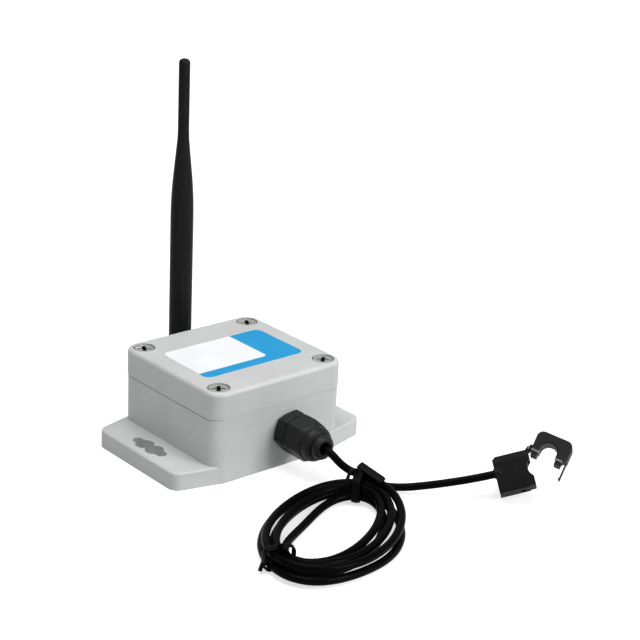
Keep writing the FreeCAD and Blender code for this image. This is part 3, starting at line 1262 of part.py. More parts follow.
def jaw_shell():
    """The hinged jaw: a round-cornered arch over the window, a knuckle and a latch tab."""
    half = CLAMP_THICKNESS / 2
    middle = JAW_SIDE - JAW_WIDTH / 2
    shell = slab(JAW_HEIGHT, JAW_WIDTH / 2, JAW_CORNER, -half, half)
    rims = [e for e in shell.Edges if abs(abs(e.CenterOfMass.z) - half) < 0.01]
    shell = shell.makeChamfer(JAW_EDGE, rims)
    shell.translate(V(JAW_BASE, middle, 0))
    shell = shell.common(block((JAW_BASE, -2 * JAW_WIDTH, -half), (jaw_top(), 1, half)))
    shell = shell.cut([window_shape(0, half + 1),
                       Part.makeCone(WINDOW_RADIUS, WINDOW_RADIUS + 0.5, 0.5,
                                     V(WINDOW_X, WINDOW_Y, half - 0.5), Z_AXIS),
                       arch(-1, core_top() + SPRING_THICKNESS, RUNNING_GAP, -half - 1,
                            CORE_DEPTH / 2 + RUNNING_GAP)])
    for side in SIDES:
        start = KNUCKLE_HALF if side > 0 else -half - 1
        shell = shell.cut(rod(KNUCKLE_RADIUS + 0.15, V(PIN_X, PIN_Y, start), Z_AXIS, half + 1 - KNUCKLE_HALF))
    knuckle = rod(KNUCKLE_RADIUS, V(PIN_X, PIN_Y, -KNUCKLE_HALF), Z_AXIS, 2 * KNUCKLE_HALF)
    web = block((PIN_X, JAW_SIDE, -KNUCKLE_HALF), (JAW_BASE + 1.4, PIN_Y + 0.1, KNUCKLE_HALF))
    root = block((JAW_BASE, JAW_SIDE - 0.25, -KNUCKLE_HALF), (JAW_BASE + 1.4, PIN_Y + 0.1, KNUCKLE_HALF))
    outer = JAW_SIDE - JAW_WIDTH
    tab = block((-TAB_REACH, outer, -TAB_HALF), (JAW_BASE + 0.6, outer + TAB_THICKNESS, TAB_HALF))
    barb = block((-TAB_REACH + 0.1, outer + TAB_THICKNESS / 2, -TAB_HALF),
                 (-TAB_REACH + 0.7, outer + TAB_THICKNESS + TAB_BARB, TAB_HALF))
    shell = shell.fuse([knuckle, web, root, tab, barb])
    shell = shell.cut(rod(PIN_RADIUS + RUNNING_GAP, V(PIN_X, PIN_Y, -half), Z_AXIS, 2 * half))
    return jaw_placed(shell.removeSplitter())


def jaw_pads():
    """The pale frames round the core at the ends of the jaw's legs."""
    high, high_in, low_in, low = core_edges()
    half = CLAMP_THICKNESS / 2 - 0.4
    core_half = CORE_DEPTH / 2
    pads = []
    for low_y, high_y, leg_low, leg_high in ((high_in - CORE_SLEEVE, high + CORE_SLEEVE, high_in, high),
                                             (low - CORE_SLEEVE, low_in + CORE_SLEEVE, low, low_in)):
        pad = block((JAW_BASE - PAD_THICKNESS, low_y, -half), (JAW_BASE, high_y, half))
        pads.append(pad.cut(block((-1, leg_low, -core_half), (JAW_BASE + 1, leg_high, core_half))))
    return jaw_placed(Part.Compound(pads))


def jaw_cover():
    """The plate that closes the jaw's core channel at the back."""
    half = CLAMP_THICKNESS / 2
    return jaw_placed(arch(JAW_BASE, core_top() + SPRING_THICKNESS, 0, -half, -half + CLAMP_WALL))


def jaw_core():
    """The jaw's half of the core, standing out of both legs."""
    return jaw_placed(arch(-CORE_STUB, core_top(), 0, -CORE_DEPTH / 2, CORE_DEPTH / 2))


def jaw_core_spring():
    """The flat spring that presses the jaw's core on the fixed half."""
    return jaw_placed(block((core_top(), WINDOW_Y - SPRING_LENGTH / 2, -SPRING_WIDTH / 2),
                            (core_top() + SPRING_THICKNESS, WINDOW_Y + SPRING_LENGTH / 2, SPRING_WIDTH / 2)))


def build():
    """Every piece by the name of its node."""
    return {
        "base_shell": base_shell(),
        "lid_shell": lid_shell(),
        "lid_seal": lid_seal(),
        "lid_screws": lid_screws(),
        "threaded_inserts": threaded_inserts(),
        "lid_label": lid_label(),
        "circuit_board": circuit_board(),
        "board_screws": board_screws(),
        "radio_module": radio_module(),
        "board_chips": board_chips(),
        "battery_holder": battery_holder(),
        "battery_contacts": battery_contacts(),
        "battery_cell": battery_cell(),
        "terminal_block": terminal_block(),
        "terminal_screws": terminal_screws(),
        "board_conductors": board_conductors(),
        "antenna_coax": antenna_coax(),
        "antenna_jack": sma_jack(),
        "jack_washer": sma_washer(),
        "jack_nut": sma_nut(),
        "antenna_nut": antenna_nut(),
        "antenna_base": antenna_base(),
        "antenna_hinge_pin": antenna_hinge_pin(),
        "antenna_sheath": antenna_sheath(),
        "antenna_radiator": antenna_radiator(),
        "gland_body": gland_body(),
        "gland_gasket": gland_gasket(),
        "gland_locknut": gland_locknut(),
        "gland_seal": gland_seal(),
        "gland_cap_nut": gland_cap_nut(),
        "cable_inner": cable_inner(),
        "cable_lead": tube_along(lead_points(), CABLE_RADIUS, "cable lead"),
        "cable_coil": cable_coil(),
        "cable_tail": tube_along(tail_points(), CABLE_RADIUS, "cable tail"),
        "twist_tie_near": twist_tie(TIE_TURNS[0], TIE_TAIL_LENGTHS[0], TIE_TAIL_TURNS[0], TIE_TAIL_LIFTS[0]),
        "twist_tie_far": twist_tie(TIE_TURNS[1], TIE_TAIL_LENGTHS[1], TIE_TAIL_TURNS[1], TIE_TAIL_LIFTS[1]),
        "clamp_body": clamp_body(),
        "clamp_back_cover": clamp_back_cover(),
        "clamp_lower_core": clamp_lower_core(),
        "clamp_bobbin": clamp_bobbin(),
        "clamp_winding": clamp_winding(),
        "clamp_conductors": clamp_conductors(),
        "clamp_grommet": clamp_grommet(),
        "clamp_hinge_pin": clamp_hinge_pin(),
        "jaw_shell": jaw_shell(),
        "jaw_pads": jaw_pads(),
        "jaw_cover": jaw_cover(),
        "jaw_core": jaw_core(),
        "jaw_core_spring": jaw_core_spring(),
    }


os.makedirs("parts", exist_ok=True)
for name, shape in build().items():
    shape.exportStep("parts/" + name + ".step")
    print(name, "solids", len(shape.Solids), "volume", round(shape.Volume, 2), "valid", shape.isValid())
axis = clamp_rotation().multVec(Z_AXIS)
pin = clamp_point(V(PIN_X, PIN_Y, 0))
print("jaw pin", [round(c, 3) for c in pin], "axis", [round(c, 5) for c in axis])
print("tilt pin", [round(c, 3) for c in pin_centre()])
print("coil start", [round(c, 2) for c in coil_start()], "end", [round(c, 2) for c in coil_end()])
print("tail", [[round(c, 2) for c in p] for p in tail_points()])
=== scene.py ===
# %% [markdown]
# # A wireless current clamp meter, surfaced and lit
# The solids of this meter are already packed as a frame: a flanged box, a whip antenna, a
# cable gland, a coiled lead and a small hinged clamp. This lesson gives them their looks.
# Solids whose shape is final keep it and get a finish. The lead, the ties, the gland's cap
# nut, the antenna's coupling nut, the lid screws and the label are worked out afresh, and
# the clamp's two mouldings are shown as copies with softened edges.

# %% The frame
import json
import math

import bmesh
import bpy
import numpy as np
from mathutils import Matrix


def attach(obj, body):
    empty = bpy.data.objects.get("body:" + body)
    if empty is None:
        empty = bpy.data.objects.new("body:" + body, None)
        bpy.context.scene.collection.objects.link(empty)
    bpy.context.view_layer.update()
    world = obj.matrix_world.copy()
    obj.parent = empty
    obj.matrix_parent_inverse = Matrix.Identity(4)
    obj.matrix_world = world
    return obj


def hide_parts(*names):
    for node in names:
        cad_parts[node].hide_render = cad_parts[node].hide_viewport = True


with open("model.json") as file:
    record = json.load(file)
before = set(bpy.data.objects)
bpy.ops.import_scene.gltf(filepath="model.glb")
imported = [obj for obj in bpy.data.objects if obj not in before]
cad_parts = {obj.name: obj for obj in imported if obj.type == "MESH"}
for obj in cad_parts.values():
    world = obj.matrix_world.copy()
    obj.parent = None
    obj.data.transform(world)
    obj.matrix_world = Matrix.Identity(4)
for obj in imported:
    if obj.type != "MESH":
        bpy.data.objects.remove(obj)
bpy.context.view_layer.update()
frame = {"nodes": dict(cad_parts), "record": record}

BODY_OF = {node: body for body, nodes in frame["record"]["behaviour"]["bodies"].items()
           for node in nodes}

# %% [markdown]
# Sizes below are millimetres, as on a drawing, and one factor turns them to metres when a
# mesh is made. A surface is a stack of rings with equally many points. Neighbouring rings
# are joined by quads. The stack either closes on itself or is closed at both ends.

# %% From rings of points to a closed surface
MM = 0.001


def closed_surface(rings, looped=False):
    """Joins neighbouring rings by quads. End rings are closed to their middle unless the stack is
    looped. The faces are turned round if the volume they enclose comes out negative."""
    rings = np.asarray(rings, float)
    count, around = rings.shape[:2]
    points = rings.reshape(-1, 3)
    here = np.arange(around)
    beyond = (here + 1) % around
    low = (np.arange(count if looped else count - 1) * around)[:, None]
    high = (low + around) % (count * around)
    quads = np.stack([low + here, low + beyond, high + beyond, high + here], -1).reshape(-1, 4)
    caps = np.empty((0, 3), int)
    if not looped:
        last = (count - 1) * around
        start = np.stack([beyond, here, np.full(around, len(points))], -1)
        end = np.stack([last + here, last + beyond, np.full(around, len(points) + 1)], -1)
        caps = np.concatenate([start, end])
        points = np.concatenate([points, rings[[0, -1]].mean(1)])
    triangles = np.concatenate([quads[:, [0, 1, 2]], quads[:, [0, 2, 3]], caps])
    a, b, c = points[triangles].transpose(1, 0, 2)
    if np.einsum("ij,ij->i", a, np.cross(b, c)).sum() < 0:
        quads, caps = quads[:, ::-1], caps[:, ::-1]
    return points, quads, caps


def placed(name, data):
    """A new object with this mesh, curve, lamp or camera."""
    obj = bpy.data.objects.new(name, data)
    bpy.context.scene.collection.objects.link(obj)
    return obj


def piece(name, parts, body, finish, stands_for, sharp=35):
    """One object of closed surfaces, smooth except over edges sharper than the given degrees."""
    points, faces, offset = [], [], 0
    for part_points, quads, caps in parts:
        points.append(part_points * MM)
        faces += (quads + offset).tolist() + (caps + offset).tolist()
        offset += len(part_points)
    mesh = bpy.data.meshes.new(name)
    mesh.from_pydata(np.concatenate(points).tolist(), [], faces)
    mesh.validate()
    mesh.shade_smooth()
    mesh.set_sharp_from_angle(angle=math.radians(sharp))
    mesh.materials.append(finish)
    obj = placed(name, mesh)
    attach(obj, body)
    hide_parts(*stands_for)
    print(name, "points", offset, "faces", len(faces))
    return obj


# %% [markdown]
# Real edges are never knife sharp. A corner of a drawn outline is replaced by a short
# curve, so each turned piece gets its small moulded or rolled edge from its profile.

# %% Rounding the corners of an outline
EASE_SHARE = 0.4
EASE_STEPS = 4


def eased(outline, radius):
    """Each corner gives way to a quadratic curve from one side to the other, which takes no more
    than a share of either side."""
    outline = np.asarray(outline, float)
    t = np.linspace(0, 1, EASE_STEPS + 1)[:, None]
    points = [outline[0]]
    for before, corner, after in zip(outline, outline[1:], outline[2:]):
        a, b = before - corner, after - corner
        long_a, long_b = np.linalg.norm(a), np.linalg.norm(b)
        reach = min(radius, EASE_SHARE * long_a, EASE_SHARE * long_b)
        start, end = corner + a * (reach / long_a), corner + b * (reach / long_b)
        points += list((1 - t) ** 2 * start + 2 * t * (1 - t) * corner + t ** 2 * end)
    points.append(outline[-1])
    return np.array(points)


def eased_loop(outline, radius):
    """The same for a closed outline, started at the middle of its last side."""
    outline = np.asarray(outline, float)
    middle = (outline[0] + outline[-1]) / 2
    return eased(np.concatenate([[middle], outline, [middle]]), radius)[:-1]


def circle_angles(count):
    """Equal steps round a circle, the last one short of the start."""
    return np.linspace(0, 2 * math.pi, count, endpoint=False)


# %% [markdown]
# ## Finishes
# Every finish starts from what the real one is. Colours are sRGB hex values, as a paint
# chart gives them, and one function turns them to the linear light that a renderer works
# with. Another adds a node with its settings and links. A colour mix goes by the numbers
# of its sockets, which are named once.

# %% Colour and nodes
MIX_FACTOR, MIX_A, MIX_B, MIXED = 0, 6, 7, 2
TONE_FROM, TONE_TO = 0.3, 0.7


def linear(code):
    """An sRGB hex colour in linear light: each channel goes back through the display curve."""
    channels = [int(code[i:i + 2], 16) / 255 for i in (1, 3, 5)]
    return [c / 12.92 if c <= 0.04045 else ((c + 0.055) / 1.055) ** 2.4 for c in channels] + [1.0]


def add(material, kind, values=None, links=None, **settings):
    """Adds one node with its own settings, the values of its sockets and the links to them."""
    tree = material.node_tree
    node = tree.nodes.new(kind)
    for key, value in settings.items():
        setattr(node, key, value)
    for key, value in (values or {}).items():
        node.inputs[key].default_value = value
    for key, (source, output) in (links or {}).items():
        tree.links.new(source.outputs[output], node.inputs[key])
    return node


def empty_material(name):
    """A material with no nodes yet but the object's own coordinates, in metres."""
    material = bpy.data.materials.new(name)
    material.use_nodes = True
    material.node_tree.nodes.clear()
    return material, add(material, "ShaderNodeTexCoord")


def two_tones(material, amount, socket, first, second):
    """A blend from one hex colour to another over the middle of an amount's range."""
    ramp = add(material, "ShaderNodeValToRGB", links={"Fac": (amount, socket)})
    start, end = ramp.color_ramp.elements
    start.color, end.color = linear(first), linear(second)
    start.position, end.position = TONE_FROM, TONE_TO
    return ramp


def ended(material, tone, patch, gloss, height, relief, values=None, strength=1.0):
    """The end that most finishes share. Roughness follows the patches between two levels of gloss,
    and the height lifts the surface by the relief. Tone, patch and height are each a node and the
    name or number of its output."""
    rough = add(material, "ShaderNodeMapRange", {"To Min": gloss[0], "To Max": gloss[1]},
                {"Value": patch})
    bump = add(material, "ShaderNodeBump", {"Strength": strength, "Distance": relief * MM},
               {"Height": height})
    shader = add(material, "ShaderNodeBsdfPrincipled", values,
                 {"Base Color": tone, "Roughness": (rough, "Result"), "Normal": (bump, "Normal")})
    add(material, "ShaderNodeOutputMaterial", links={"Surface": (shader, "BSDF")})
    return material


# %% [markdown]
# Most of this object is injection moulded. Such a surface copies the mould, which is
# spark eroded to a fine even grain, and its colour is the same through the wall. What the
# eye gets is a broad soft highlight with a slight sparkle, and a very slight unevenness
# of tone where the melt flowed. The grain is drawn as coarse as it needs to be to show.

# %% Moulded plastics and rubbers
DRIFT_SIZE, PATCH_SIZE = 14, 3


def moulded(name, first, second, gloss, grain, relief, **values):
    """Colour drifts from the first tone to the second, gloss goes in patches from the lowest to the
    highest roughness, and a noise of the grain's size lifts the surface by its relief."""
    material, place = empty_material(name)
    drift = add(material, "ShaderNodeTexNoise", {"Scale": 1 / (DRIFT_SIZE * MM), "Detail": 3.0},
                {"Vector": (place, "Object")})
    patch = add(material, "ShaderNodeTexNoise", {"Scale": 1 / (PATCH_SIZE * MM), "Detail": 2.0},
                {"Vector": (place, "Object")})
    skin = add(material, "ShaderNodeTexNoise", {"Scale": 1 / (grain * MM), "Detail": 2.0},
               {"Vector": (place, "Object")})
    tone = two_tones(material, drift, "Fac", first, second)
    return ended(material, (tone, "Color"), (patch, "Fac"), gloss, (skin, "Fac"), relief, values)


# %% [markdown]
# Black plastics differ less in their colour than in how much of the white tent they
# mirror. Four levels go from satin down to flat. The jaw is a lighter black than the
# housing that it closes on.

# %% The moulded finishes
DARK = {"Specular IOR Level": 0.22}
DEEP = {"Specular IOR Level": 0.12}
DULL = {"Specular IOR Level": 0.06}
JET = {"Specular IOR Level": 0.035}
grey_polycarbonate = moulded("grey_moulded_polycarbonate", "#C5C8C7", "#CCCFCE",
                             (0.40, 0.52), 0.45, 0.010)
black_nylon = moulded("black_moulded_nylon", "#131314", "#1A1A1B",
                      (0.34, 0.48), 0.5, 0.012, **DARK)
clamp_nylon = moulded("black_moulded_clamp_nylon", "#070707", "#0F0F10",
                      (0.44, 0.58), 0.35, 0.016, **DEEP)
jaw_nylon = moulded("black_moulded_jaw_nylon", "#1E1E1F", "#272729",
                    (0.44, 0.58), 0.35, 0.016, **DEEP)
pale_nylon = moulded("pale_moulded_nylon", "#7E7F79", "#8A8B85", (0.45, 0.60), 0.3, 0.008)
seal_rubber = moulded("black_moulded_silicone_rubber", "#111111", "#181818",
                      (0.60, 0.75), 0.4, 0.010, **DARK)
terminal_plastic = moulded("green_moulded_polyamide", "#2E7D46", "#35884E",
                           (0.35, 0.48), 0.4, 0.008)
holder_plastic = moulded("black_moulded_polypropylene", "#1A1A1B", "#222224",
                         (0.42, 0.55), 0.5, 0.010)
chip_plastic = moulded("black_moulded_epoxy", "#1C1C1D", "#242425", (0.55, 0.70), 0.25, 0.006)
bobbin_plastic = moulded("natural_moulded_polyamide", "#D8D2C2", "#E2DDD0",
                         (0.40, 0.55), 0.4, 0.008)
print("moulded finishes", len(bpy.data.materials))

# %% [markdown]
# The antenna's sheath is a soft black thermoplastic rubber. The mould opens along its
# length, which leaves a hair line down each side, and the long draw leaves faint streaks.
# Next to the nylons it is flat: it mirrors little, and its own dark grey shows.

# %% The whip's sheath
WHIP_X, WHIP_Y = 8.6, 47.55
STREAK_SIZE, STREAK_STRETCH, STREAK_SHARE = 0.8, 40, 0.25
RIDGE_HALF, WHIP_RELIEF = 0.15, 0.02


def whip_rubber():
    """Noise stretched along the height gives the streaks. A thin ridge, which falls off with the
    distance from the plane through the whip's middle, gives the parting line."""
    material, place = empty_material("black_moulded_thermoplastic_rubber")
    stretched = add(material, "ShaderNodeMapping", {"Scale": (1.0, 1.0, 1 / STREAK_STRETCH)},
                    {"Vector": (place, "Object")})
    streak = add(material, "ShaderNodeTexNoise", {"Scale": 1 / (STREAK_SIZE * MM), "Detail": 3.0},
                 {"Vector": (stretched, "Vector")})
    axes = add(material, "ShaderNodeSeparateXYZ", links={"Vector": (place, "Object")})
    off_plane = add(material, "ShaderNodeMath", {1: WHIP_Y * MM}, {0: (axes, "Y")},
                    operation="SUBTRACT")
    distance = add(material, "ShaderNodeMath", links={0: (off_plane, "Value")},
                   operation="ABSOLUTE")
    ridge = add(material, "ShaderNodeMapRange",
                {"From Min": 0.0, "From Max": RIDGE_HALF * MM, "To Min": 1.0, "To Max": 0.0},
                {"Value": (distance, "Value")})
    height = add(material, "ShaderNodeMath", {1: STREAK_SHARE},
                 {0: (streak, "Fac"), 2: (ridge, "Result")}, operation="MULTIPLY_ADD")
    tone = two_tones(material, streak, "Fac", "#1A1A1B", "#202021")
    return ended(material, (tone, "Color"), (streak, "Fac"), (0.32, 0.44), (height, "Value"),
                 WHIP_RELIEF, DULL, strength=0.8)


whip_finish = whip_rubber()

# %% [markdown]
# The lead's sheath is extruded PVC, drawn hot through a die. It comes out smooth, with
# fine scuffs from handling and no grain, and its black is the deepest on the object, with
# a thin highlight along each strand. The tie is the same plastic over a wire, a little
# duller.

# %% Extruded PVC
pvc_sheath = moulded("black_extruded_pvc", "#020202", "#040404", (0.28, 0.40), 1.3, 0.010, **JET)
pvc_tie = moulded("black_extruded_tie_pvc", "#030303", "#070707", (0.36, 0.50), 0.7, 0.012, **DULL)
wire_insulation = moulded("grey_extruded_pvc", "#8E9092", "#9A9C9E", (0.32, 0.45), 0.8, 0.006)
coax_jacket = moulded("brown_extruded_fluoropolymer", "#5C3A26", "#67422C",
                      (0.25, 0.36), 0.8, 0.004)

# %% [markdown]
# Metals here are small: zinc plated and turned screws, brass inserts, a nickel plated
# jack and contacts, and a ferrite core, which is a ground ceramic and not shiny. A plated
# surface shows fine scratches, drawn as noise in its roughness and its relief. The deep
# cross in a lid screw shows nearly black in shade, so that finish darkens with painted
# shade just below the head's face. The head's side and the shank, which the lid hides,
# darken with the same painted shade.

# %% Metals and ferrite
SCRATCH_STRETCH = 5
# Painted shade: the screws' finish darkens to this tone in the cross recess, under the head and
# down the shank.
RECESS_SHADE = "#1E1E1D"
SHADE_UP_TO, UNSHADED_FROM = 36.7, 37.2


def plated(name, first, second, gloss, scratch, relief, metallic=1.0, painted_shade=None):
    """A metal whose roughness and relief follow noise of the scratches' spacing, in millimetres.
    The last argument gives two heights: the tone goes from painted shade at the lower to unshaded
    at the upper one."""
    material, place = empty_material(name)
    long_way = add(material, "ShaderNodeMapping", {"Scale": (1.0, 1 / SCRATCH_STRETCH, 1.0)},
                   {"Vector": (place, "Object")})
    scuff = add(material, "ShaderNodeTexNoise", {"Scale": 1 / (scratch * MM), "Detail": 4.0},
                {"Vector": (long_way, "Vector")})
    tone, output = two_tones(material, scuff, "Fac", first, second), "Color"
    # Painted shade: below the lower height the tone is mixed towards the dark shade colour.
    if painted_shade:
        axes = add(material, "ShaderNodeSeparateXYZ", links={"Vector": (place, "Object")})
        unshaded = add(material, "ShaderNodeMapRange",
                    {"From Min": painted_shade[0] * MM, "From Max": painted_shade[1] * MM}, {"Value": (axes, "Z")})
        tone = add(material, "ShaderNodeMix", {MIX_A: linear(RECESS_SHADE)},
                   {MIX_FACTOR: (unshaded, "Result"), MIX_B: (tone, "Color")}, data_type="RGBA")
        output = MIXED
    return ended(material, (tone, output), (scuff, "Fac"), gloss, (scuff, "Fac"), relief,
                 {"Metallic": metallic})


ZINC = ("#D2D2CE", "#E4E4E0", (0.32, 0.46), 0.5, 0.006)
zinc_steel = plated("zinc_plated_steel", *ZINC)
# The lid screws carry painted shade in their cross recess and below the head's face.
screw_steel = plated("zinc_plated_screw_steel", *ZINC, painted_shade=(SHADE_UP_TO, UNSHADED_FROM))
spring_steel = plated("ground_spring_steel", "#8B8C8E", "#A2A3A5", (0.26, 0.40), 0.3, 0.004)
turned_brass = plated("turned_brass", "#B08D45", "#C4A05A", (0.24, 0.38), 0.4, 0.005)
gilt_brass = plated("gold_plated_brass", "#C9A24C", "#D8B461", (0.20, 0.32), 0.4, 0.003)
nickel_sheet = plated("nickel_plated_sheet", "#A8A7A0", "#BDBCB5", (0.20, 0.34), 0.5, 0.003)
ferrite = plated("ground_ferrite", "#161617", "#1F1F20", (0.55, 0.70), 0.25, 0.006, metallic=0.0)
print("finishes with the metals", len(bpy.data.materials))

# %% [markdown]
# ## The label
# The lid carries a printed polyester film. What it shows is a plain layout: a white field
# with a blue block at one end and a blue strip along the front. The print is under a
# clear film, so both colours share one gloss. The border is a step in the object's own
# coordinates, and it turns its inner corner in a small arc.

# %% Printed film
LABEL_HALF = (24.25, 15.0)
LABEL_CORNER = 3.0
BLUE_FROM_X = 9.3
BLUE_UP_TO_Y = -10.0
BLUE_CORNER = 2.0
INK_SIZE, RIPPLE_SIZE, FILM_RELIEF = 9, 6, 0.02


def printed_film():
    """White up to a rounded corner and blue past it: a point is blue where it is further than the
    corner's radius from the white field shrunk by that radius."""
    material, place = empty_material("printed_polyester_film")
    axes = add(material, "ShaderNodeSeparateXYZ", links={"Vector": (place, "Object")})
    past_x = add(material, "ShaderNodeMath", {1: (BLUE_FROM_X - BLUE_CORNER) * MM},
                 {0: (axes, "X")}, operation="SUBTRACT")
    past_y = add(material, "ShaderNodeMath", {0: (BLUE_UP_TO_Y + BLUE_CORNER) * MM},
                 {1: (axes, "Y")}, operation="SUBTRACT")
    past = add(material, "ShaderNodeCombineXYZ",
               links={"X": (past_x, "Value"), "Y": (past_y, "Value")})
    outside = add(material, "ShaderNodeVectorMath", {1: (0.0, 0.0, 0.0)}, {0: (past, "Vector")},
                  operation="MAXIMUM")
    distance = add(material, "ShaderNodeVectorMath", links={0: (outside, "Vector")},
                   operation="LENGTH")
    blue = add(material, "ShaderNodeMath", {1: BLUE_CORNER * MM}, {0: (distance, "Value")},
               operation="GREATER_THAN")
    ink = add(material, "ShaderNodeTexNoise", {"Scale": 1 / (INK_SIZE * MM), "Detail": 2.0},
              {"Vector": (place, "Object")})
    white = two_tones(material, ink, "Fac", "#F1F3F5", "#F7F9FA")
    cyan = two_tones(material, ink, "Fac", "#0598D2", "#0B9ED7")
    tone = add(material, "ShaderNodeMix", data_type="RGBA",
               links={MIX_FACTOR: (blue, "Value"), MIX_A: (white, "Color"), MIX_B: (cyan, "Color")})
    ripple = add(material, "ShaderNodeTexNoise", {"Scale": 1 / (RIPPLE_SIZE * MM)},
                 {"Vector": (place, "Object")})
    return ended(material, (tone, MIXED), (ripple, "Fac"), (0.34, 0.44), (ripple, "Fac"),
                 FILM_RELIEF, {"Specular IOR Level": 0.25})


# %% [markdown]
# The film itself is a rounded rectangle, as thick as two sheets of paper. Its rings go up
# its cut edge, over a small bevel and inwards over its face.

# %% The film on the lid
LID_TOP = 37.6
FILM_THICKNESS, FILM_BEVEL, FILM_INSET, FILM_LEAST_CORNER = 0.15, 0.05, 4.0, 0.5


def rounded_rectangle(half_x, half_y, corner, z, per_corner=12):
    """Points round a rectangle: each corner is a quarter circle about a centre one radius in from
    both sides."""
    quarter = np.linspace(0, math.pi / 2, per_corner)
    points = []
    for turn, (sx, sy) in enumerate([(1, 1), (-1, 1), (-1, -1), (1, -1)]):
        angle = quarter + turn * math.pi / 2
        x = sx * (half_x - corner) + corner * np.cos(angle)
        y = sy * (half_y - corner) + corner * np.sin(angle)
        points.append(np.stack([x, y, np.full(per_corner, z)], -1))
    return np.concatenate(points)


film_top = LID_TOP + FILM_THICKNESS
film_edge = [(0.0, LID_TOP), (0.0, film_top - FILM_BEVEL), (FILM_BEVEL, film_top),
             (FILM_INSET, film_top)]
label_rings = [rounded_rectangle(LABEL_HALF[0] - inset, LABEL_HALF[1] - inset,
                                 max(LABEL_CORNER - inset, FILM_LEAST_CORNER), z)
               for inset, z in film_edge]
piece("lid_label_film", [closed_surface(label_rings)], "lid", printed_film(), ["lid_label"])

# %% [markdown]
# ## Lid screws
# Each screw is a pan head with a cross recess. Its whole surface is one stack of rings:
# from the middle of the head outwards, down its edge, under it and down the thread to
# the point. The recess is a depth taken off the rings of the head, full inside the cross
# and falling to nothing over its slanted wall. Each head stands at an angle of its own,
# as hand driven screws do.

# %% The cross recess
CROSS_REACH, CROSS_WIDTH, CROSS_DEPTH = 3.0, 1.8, 1.9
CROSS_WALL, BAR_TAPER, FLOOR_RISE = 0.25, 0.25, 0.35


def cross_depth(radius, angle):
    """Depth of the recess: the nearer of the two bars counts. A bar narrows and its floor rises
    towards its end, and its walls slant over a quarter of a millimetre."""
    along, across = np.abs(radius * np.cos(angle)), np.abs(radius * np.sin(angle))
    out = np.maximum(along, across)
    to_bar = np.minimum(along, across) - CROSS_WIDTH / 2 * (1 - BAR_TAPER * out / CROSS_REACH)
    inside = np.clip(-np.maximum(to_bar, out - CROSS_REACH) / CROSS_WALL, 0, 1)
    return CROSS_DEPTH * inside * (1 - FLOOR_RISE * radius / CROSS_REACH)


# %% Pan head screws
SCREW_PLACES = [(x, y) for x in (-26.0, 26.0) for y in (-24.5, 24.5)]
SCREW_TURNS = (-38, -29, -44, -33)
SCREW_POINTS = 112
HEAD_SEAT = 34.8
HEAD_RADIUS, HEAD_HEIGHT, HEAD_DROP = 4.0, 2.6, 0.15
HEAD_MIDDLE, HEAD_EDGE, HEAD_RINGS = 0.02, HEAD_RADIUS * 0.97, 52
SHANK_RADIUS, SHANK_LENGTH = 2.0, 16.0
RIM = [(HEAD_EDGE, 2.46), (HEAD_RADIUS, 2.25), (HEAD_RADIUS, 0.0), (SHANK_RADIUS, 0.0),
       (SHANK_RADIUS, -2.0)]
RIM_EASE = 0.15
THREAD_PITCH, THREAD_DEPTH, RINGS_PER_PITCH = 0.7, 0.28, 5
THREAD_START, THREAD_END = -2.2, 0.8 - SHANK_LENGTH
TIP = np.array([(SHANK_RADIUS - 0.4, 0.6 - SHANK_LENGTH), (SHANK_RADIUS - 0.7, -SHANK_LENGTH)])


def rings_about_axis(radius, angle, place):
    """Rings about an axis: the radius times the angle's cosine and sine, and the place along it."""
    return np.stack(np.broadcast_arrays(radius * np.cos(angle), radius * np.sin(angle), place), -1)


def pan_head_screw(x, y, turn):
    """The head's dome falls with the fourth power of the radius, less the recess. The thread is a
    helix of triangular ridges: the radius falls with the distance from the ridge's crest."""
    angle = circle_angles(SCREW_POINTS)
    head = np.linspace(HEAD_MIDDLE, HEAD_EDGE, HEAD_RINGS)[:, None]
    dome = HEAD_HEIGHT - HEAD_DROP * (head / HEAD_RADIUS) ** 4
    rim = eased(RIM, RIM_EASE)[1:]
    thread = np.arange(THREAD_START, THREAD_END, -THREAD_PITCH / RINGS_PER_PITCH)[:, None]
    phase = (thread / THREAD_PITCH - angle / (2 * math.pi)) % 1
    ridge = SHANK_RADIUS - THREAD_DEPTH * 2 * np.abs(phase - 0.5)
    rings = [rings_about_axis(head, angle, dome - cross_depth(head, angle + turn)),
             rings_about_axis(rim[:, :1], angle, rim[:, 1:]),
             rings_about_axis(ridge, angle, thread),
             rings_about_axis(TIP[:, :1], angle, TIP[:, 1:])]
    points, quads, caps = closed_surface(np.concatenate(rings))
    return points + [x, y, HEAD_SEAT], quads, caps


screws = [pan_head_screw(x, y, -math.radians(turn))
          for (x, y), turn in zip(SCREW_PLACES, SCREW_TURNS)]
piece("lid_screw_set", screws, "lid", screw_steel, ["lid_screws"], sharp=40)

# %% [markdown]
# ## The gland's cap nut
# A cap nut starts as a hexagon, turns into a round collar and ends in a smooth nose with
# the cable's mouth. The surface is a turned profile whose radius is nowhere more than the
# hexagon's. Where the profile's cone cuts the hexagon's corners, the curved bright
# chamfers of the real nut appear by themselves.

# %% Hexagon, collar and nose in one surface
NUT_POINTS = 240
GLAND_AXIS_X, GLAND_AXIS_Z, FRONT_WALL_Y = 4.3, 14.7, -30.8
CAP_FLATS, CAP_TURN = 15.0, math.radians(12)
CAP_PROFILE = [(8.15, 6.1), (8.66, 6.6), (8.66, 12.9), (7.42, 15.3), (7.06, 15.4), (7.02, 17.2),
               (6.4, 18.4), (5.6, 19.2), (4.75, 19.3), (4.75, 19.8), (5.1, 19.9), (4.95, 21.0),
               (4.5, 21.8), (3.7, 22.15), (3.0, 22.2), (2.35, 21.6), (2.35, 17.8), (4.2, 15.9),
               (4.2, 13.6), (5.66, 12.9), (5.66, 6.1)]
CAP_EASE, CAP_STEP = 0.14, 0.2


